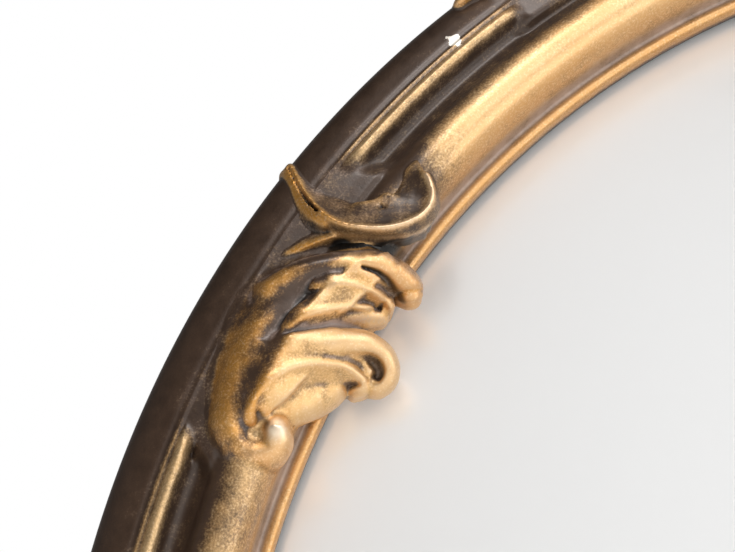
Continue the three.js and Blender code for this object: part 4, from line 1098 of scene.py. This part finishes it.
def turn_button(number):
    """Stamped plate with round ends and rolled edges, pierced for its screw. Its outline is a straight
    sided oval about the far end of its length; loops of points run from the hole over the front to the
    edge and back over the rear."""
    half, reach = BUTTON_W / 2, BUTTON_L - BUTTON_W
    a = np.linspace(0, 2 * np.pi, 96, endpoint=False)
    # distance from the hole's middle to the outline in each direction
    c, s = np.cos(a), np.sin(a)
    straight = half / np.maximum(np.abs(s), 1e-9)
    inner = c * -reach
    round_end = inner + np.sqrt(np.maximum(inner**2 - reach**2 + half**2, 0))
    far = np.where(c > 0, half, np.where(straight * -c <= reach, straight, round_end))
    section = [(0, 0.25, 0), (0, 0, .25), (1, -.35, 0), (1, -.1, .1), (1, 0, .35), (1, 0, BUTTON_T - .35),
               (1, -.1, BUTTON_T - .1), (1, -.35, BUTTON_T), (0, .25, BUTTON_T), (0, 0, BUTTON_T - .25)]
    rows = np.array([np.stack([(far if outer else SCREW_R + GAP) + off + 0 * a, BUTTON_REAR + up + 0 * a], 1)
                     for outer, off, up in section])
    angle = np.radians(number * 360 / BUTTON_COUNT)
    x, z = rows[:, :, 0] * c, rows[:, :, 0] * s
    spot = BUTTON_PIVOT_R * np.array([np.cos(angle), np.sin(angle)])
    points = np.stack([spot[0] + x * np.cos(angle) - z * np.sin(angle), -rows[:, :, 1],
                       spot[1] + x * np.sin(angle) + z * np.cos(angle)], -1) / 1000
    name = f"turn_button_{number + 1}"
    put(f"{name}_stamped", points.reshape(-1, 3), loops(points), f"button_{number + 1}",
        BRASSED, [name])
    cross_head_screw(f"button_screw_{number + 1}", spot[0], spot[1], BUTTON_SEAT, 0.4 + 1.1 * number)


def hanger(side, sign):
    """Strap of brass-plated strip, folded three quarters of a turn round the ring's bar, with a round lower
    end; two screws; and the D-ring, round wire swept round a bar, two corners, short sides and a bow."""
    x0, z0 = sign * HANGER_AT[0], HANGER_AT[1]
    eye = WIRE_R + GAP + STRAP_T / 2
    round_end = STRAP_W / 2 * (1 - np.cos(np.linspace(0.1, np.pi / 2, 16)))
    down = STRAP_L - np.concatenate([round_end, np.linspace(STRAP_W / 2 + 1, STRAP_L, 24)])
    turn = np.linspace(0, 1.5 * np.pi, 40)[1:]
    line = np.concatenate([np.stack([-down, np.full(40, PIVOT_H + eye)], 1),
                           np.stack([eye * np.sin(turn), PIVOT_H + eye * np.cos(turn)], 1)])
    normal = np.concatenate([np.tile([0.0, 1.0], (40, 1)), np.stack([np.sin(turn), np.cos(turn)], 1)])
    near_end = np.minimum(STRAP_L - np.append(down, np.zeros(39)), STRAP_W / 2)
    wide = np.sqrt(np.maximum((STRAP_W / 2) ** 2 - (STRAP_W / 2 - near_end) ** 2, 0.09))
    t = STRAP_T / 2
    loop = np.array([(-1, -t + .15, 0), (-1, t - .15, 0), (-1, t, .15), (1, t, -.15), (1, t - .15, 0),
                     (1, -t + .15, 0), (1, -t, -.15), (-1, -t, .15)])
    across = x0 + wide[:, None] * loop[:, 0] + loop[:, 2]
    out = line[:, None, :] + normal[:, None, :] * loop[None, :, 1:2]
    points = np.stack([across, -out[:, :, 1], z0 + out[:, :, 0]], -1) / 1000
    flat, n = points.reshape(-1, 3), len(loop)
    last = len(flat) - n
    cap = np.array([(0, 1, 2, 7), (2, 3, 6, 7), (3, 4, 5, 6)])
    caps = np.concatenate([cap, last + cap[:, ::-1]])
    faces = np.concatenate([wrapped(len(line), n, False, True), caps])
    put(f"hanger_strap_{side}_folded", flat, faces, "frame", BRASSED,
        [f"hanger_strap_{side}"])
    for i, share in enumerate((0.4, 0.8)):
        cross_head_screw(f"strap_screw_{side}_{i + 1}", x0, z0 - STRAP_L * share, STRAP_SEAT, 0.9 + 0.7 * i)

    corner, bow = np.linspace(-np.pi / 2, 0, 9), np.linspace(0, np.pi, 41)
    bend = [D_HALF - D_CORNER, D_CORNER] + D_CORNER * np.stack([np.cos(corner), np.sin(corner)], 1)
    top = [0, D_CORNER + D_SIDE] + D_HALF * np.stack([np.cos(bow), np.sin(bow)], 1)
    path = np.concatenate([bend, top, bend[::-1] * [-1, 1]])
    ahead = np.roll(path, -1, 0) - np.roll(path, 1, 0)
    side_way = np.stack([ahead[:, 1], -ahead[:, 0]], 1) / np.linalg.norm(ahead, axis=1)[:, None]
    round_wire = np.linspace(0, 2 * np.pi, 16, endpoint=False)
    at = path[:, None, :] + WIRE_R * np.cos(round_wire)[None, :, None] * side_way[:, None, :]
    depth = PIVOT_H + WIRE_R * np.sin(round_wire)[None, :] + 0 * at[:, :, 0]
    points = np.stack([x0 + at[:, :, 0], -depth, z0 + at[:, :, 1]], -1) / 1000
    put(f"hanger_ring_{side}_bent", points.reshape(-1, 3), loops(points), f"ring_{side}",
        BRASSED, [f"hanger_ring_{side}"])


for number in range(BUTTON_COUNT):
    turn_button(number)
hanger("left", -1)
hanger("right", 1)
foot = BUMPER_R * 0.86
bumper = [(0, BUMPER_T), (BUMPER_R - 0.3, BUMPER_T), (BUMPER_R, BUMPER_T - 0.3), (BUMPER_R * 0.90, 1.2),
          (foot - 0.3, 0.35), (foot - 1.1, 0.05), (0, 0.0)]
for i, where in enumerate(("upper_right", "upper_left", "lower_left", "lower_right")):
    angle = np.radians(45 + 90 * i)
    turned(f"wall_bumper_{where}_moulded", bumper, 48, "frame", RUBBER,
           [f"wall_bumper_{where}"], (BACK_R * np.cos(angle), BACK_R * np.sin(angle)))

# ---- studio ----
floor = placed("floor", bpy.data.meshes.new("floor"))
floor.data.from_pydata([(-6, -6, -0.36), (6, -6, -0.36), (6, 6, -0.36), (-6, 6, -0.36)], [], [(0, 1, 2, 3)])
paper, tree, shader, _ = finish("studio_floor")
fill(tree, shader, {"Base Color": "#f0f0ee", "Roughness": 0.8, "Emission Color": "#f4f4f2",
                    "Emission Strength": 0.45})
floor.data.materials.append(paper)

sky = bpy.data.worlds.new("studio")
bpy.context.scene.world = sky
sky.use_nodes = True
tree = sky.node_tree
tree.nodes.clear()
way = node(tree, "ShaderNodeTexCoord", {}, "Generated")
# a large pale tent to the right, the front and above, a dim wall behind and a dim card on the left
glow = 0.0
for toward, low, high, dark, bright in (
        ((0.75, -0.58, 0.30), 0.05, 0.9, 0.03, 0.8), ((0, 1, 0), 0.2, 0.75, 0, 0.3),
        ((-0.95, -0.1, 0.1), 0.55, 0.95, 0, 0.2)):
    lean = node(tree, "ShaderNodeVectorMath", {"operation": "DOT_PRODUCT", 0: way, 1: toward}, "Value")
    card = node(tree, "ShaderNodeMapRange",
                {"interpolation_type": "SMOOTHSTEP", 0: lean, 1: low, 2: high, 3: dark, 4: bright})
    glow = node(tree, "ShaderNodeMath", {"operation": "MAXIMUM", 0: glow, 1: card})
seen = node(tree, "ShaderNodeLightPath", {}, "Is Camera Ray")
level = node(tree, "ShaderNodeMix", {"data_type": "FLOAT", 0: seen, 2: glow, 3: 1.0})
light = node(tree, "ShaderNodeBackground", {"Color": (1, 1, 1, 1), "Strength": level})
node(tree, "ShaderNodeOutputWorld", {"Surface": light}, None)


def lamp(name, spot, aim, size, power, only=None, without=None, shade=True):
    """A square soft light that faces a point. Only: the one piece that it lights. Without: the one that it
    doesn't. Shade: other pieces keep it off."""
    data = bpy.data.lights.new(name, "AREA")
    data.size, data.energy, data.use_shadow = size, power, shade
    made = placed(name, data)
    made.location = spot
    made.rotation_euler = (Vector(aim) - Vector(spot)).to_track_quat("-Z", "Y").to_euler()
    if only or without:
        linked = bpy.data.collections.new(name)
        linked.objects.link(only or without)
        if without:
            linked.collection_objects[0].light_linking.link_state = "EXCLUDE"
        made.light_linking.receiver_collection = linked


lamp("key", (0.40, -0.92, 0.72), (-0.2, 0, 0.1), 0.9, 6.0, without=glass)
lamp("card_right", (0.85, -0.40, -0.22), (-0.2, 0, 0.1), 0.9, 4.6, without=glass)
lamp("card_top", (-0.30, -0.62, 0.78), (-0.22, 0, 0.13), 0.25, 2.2, without=glass)
lamp("floor_wash", (0.4, -0.6, 2.2), (0, 0, -0.4), 3.0, 26.0, only=floor)
lamp("glass_card", (-0.65, -1.3, 0.65), (0, 0, 0), 2.0, 6.4, only=glass, shade=False)
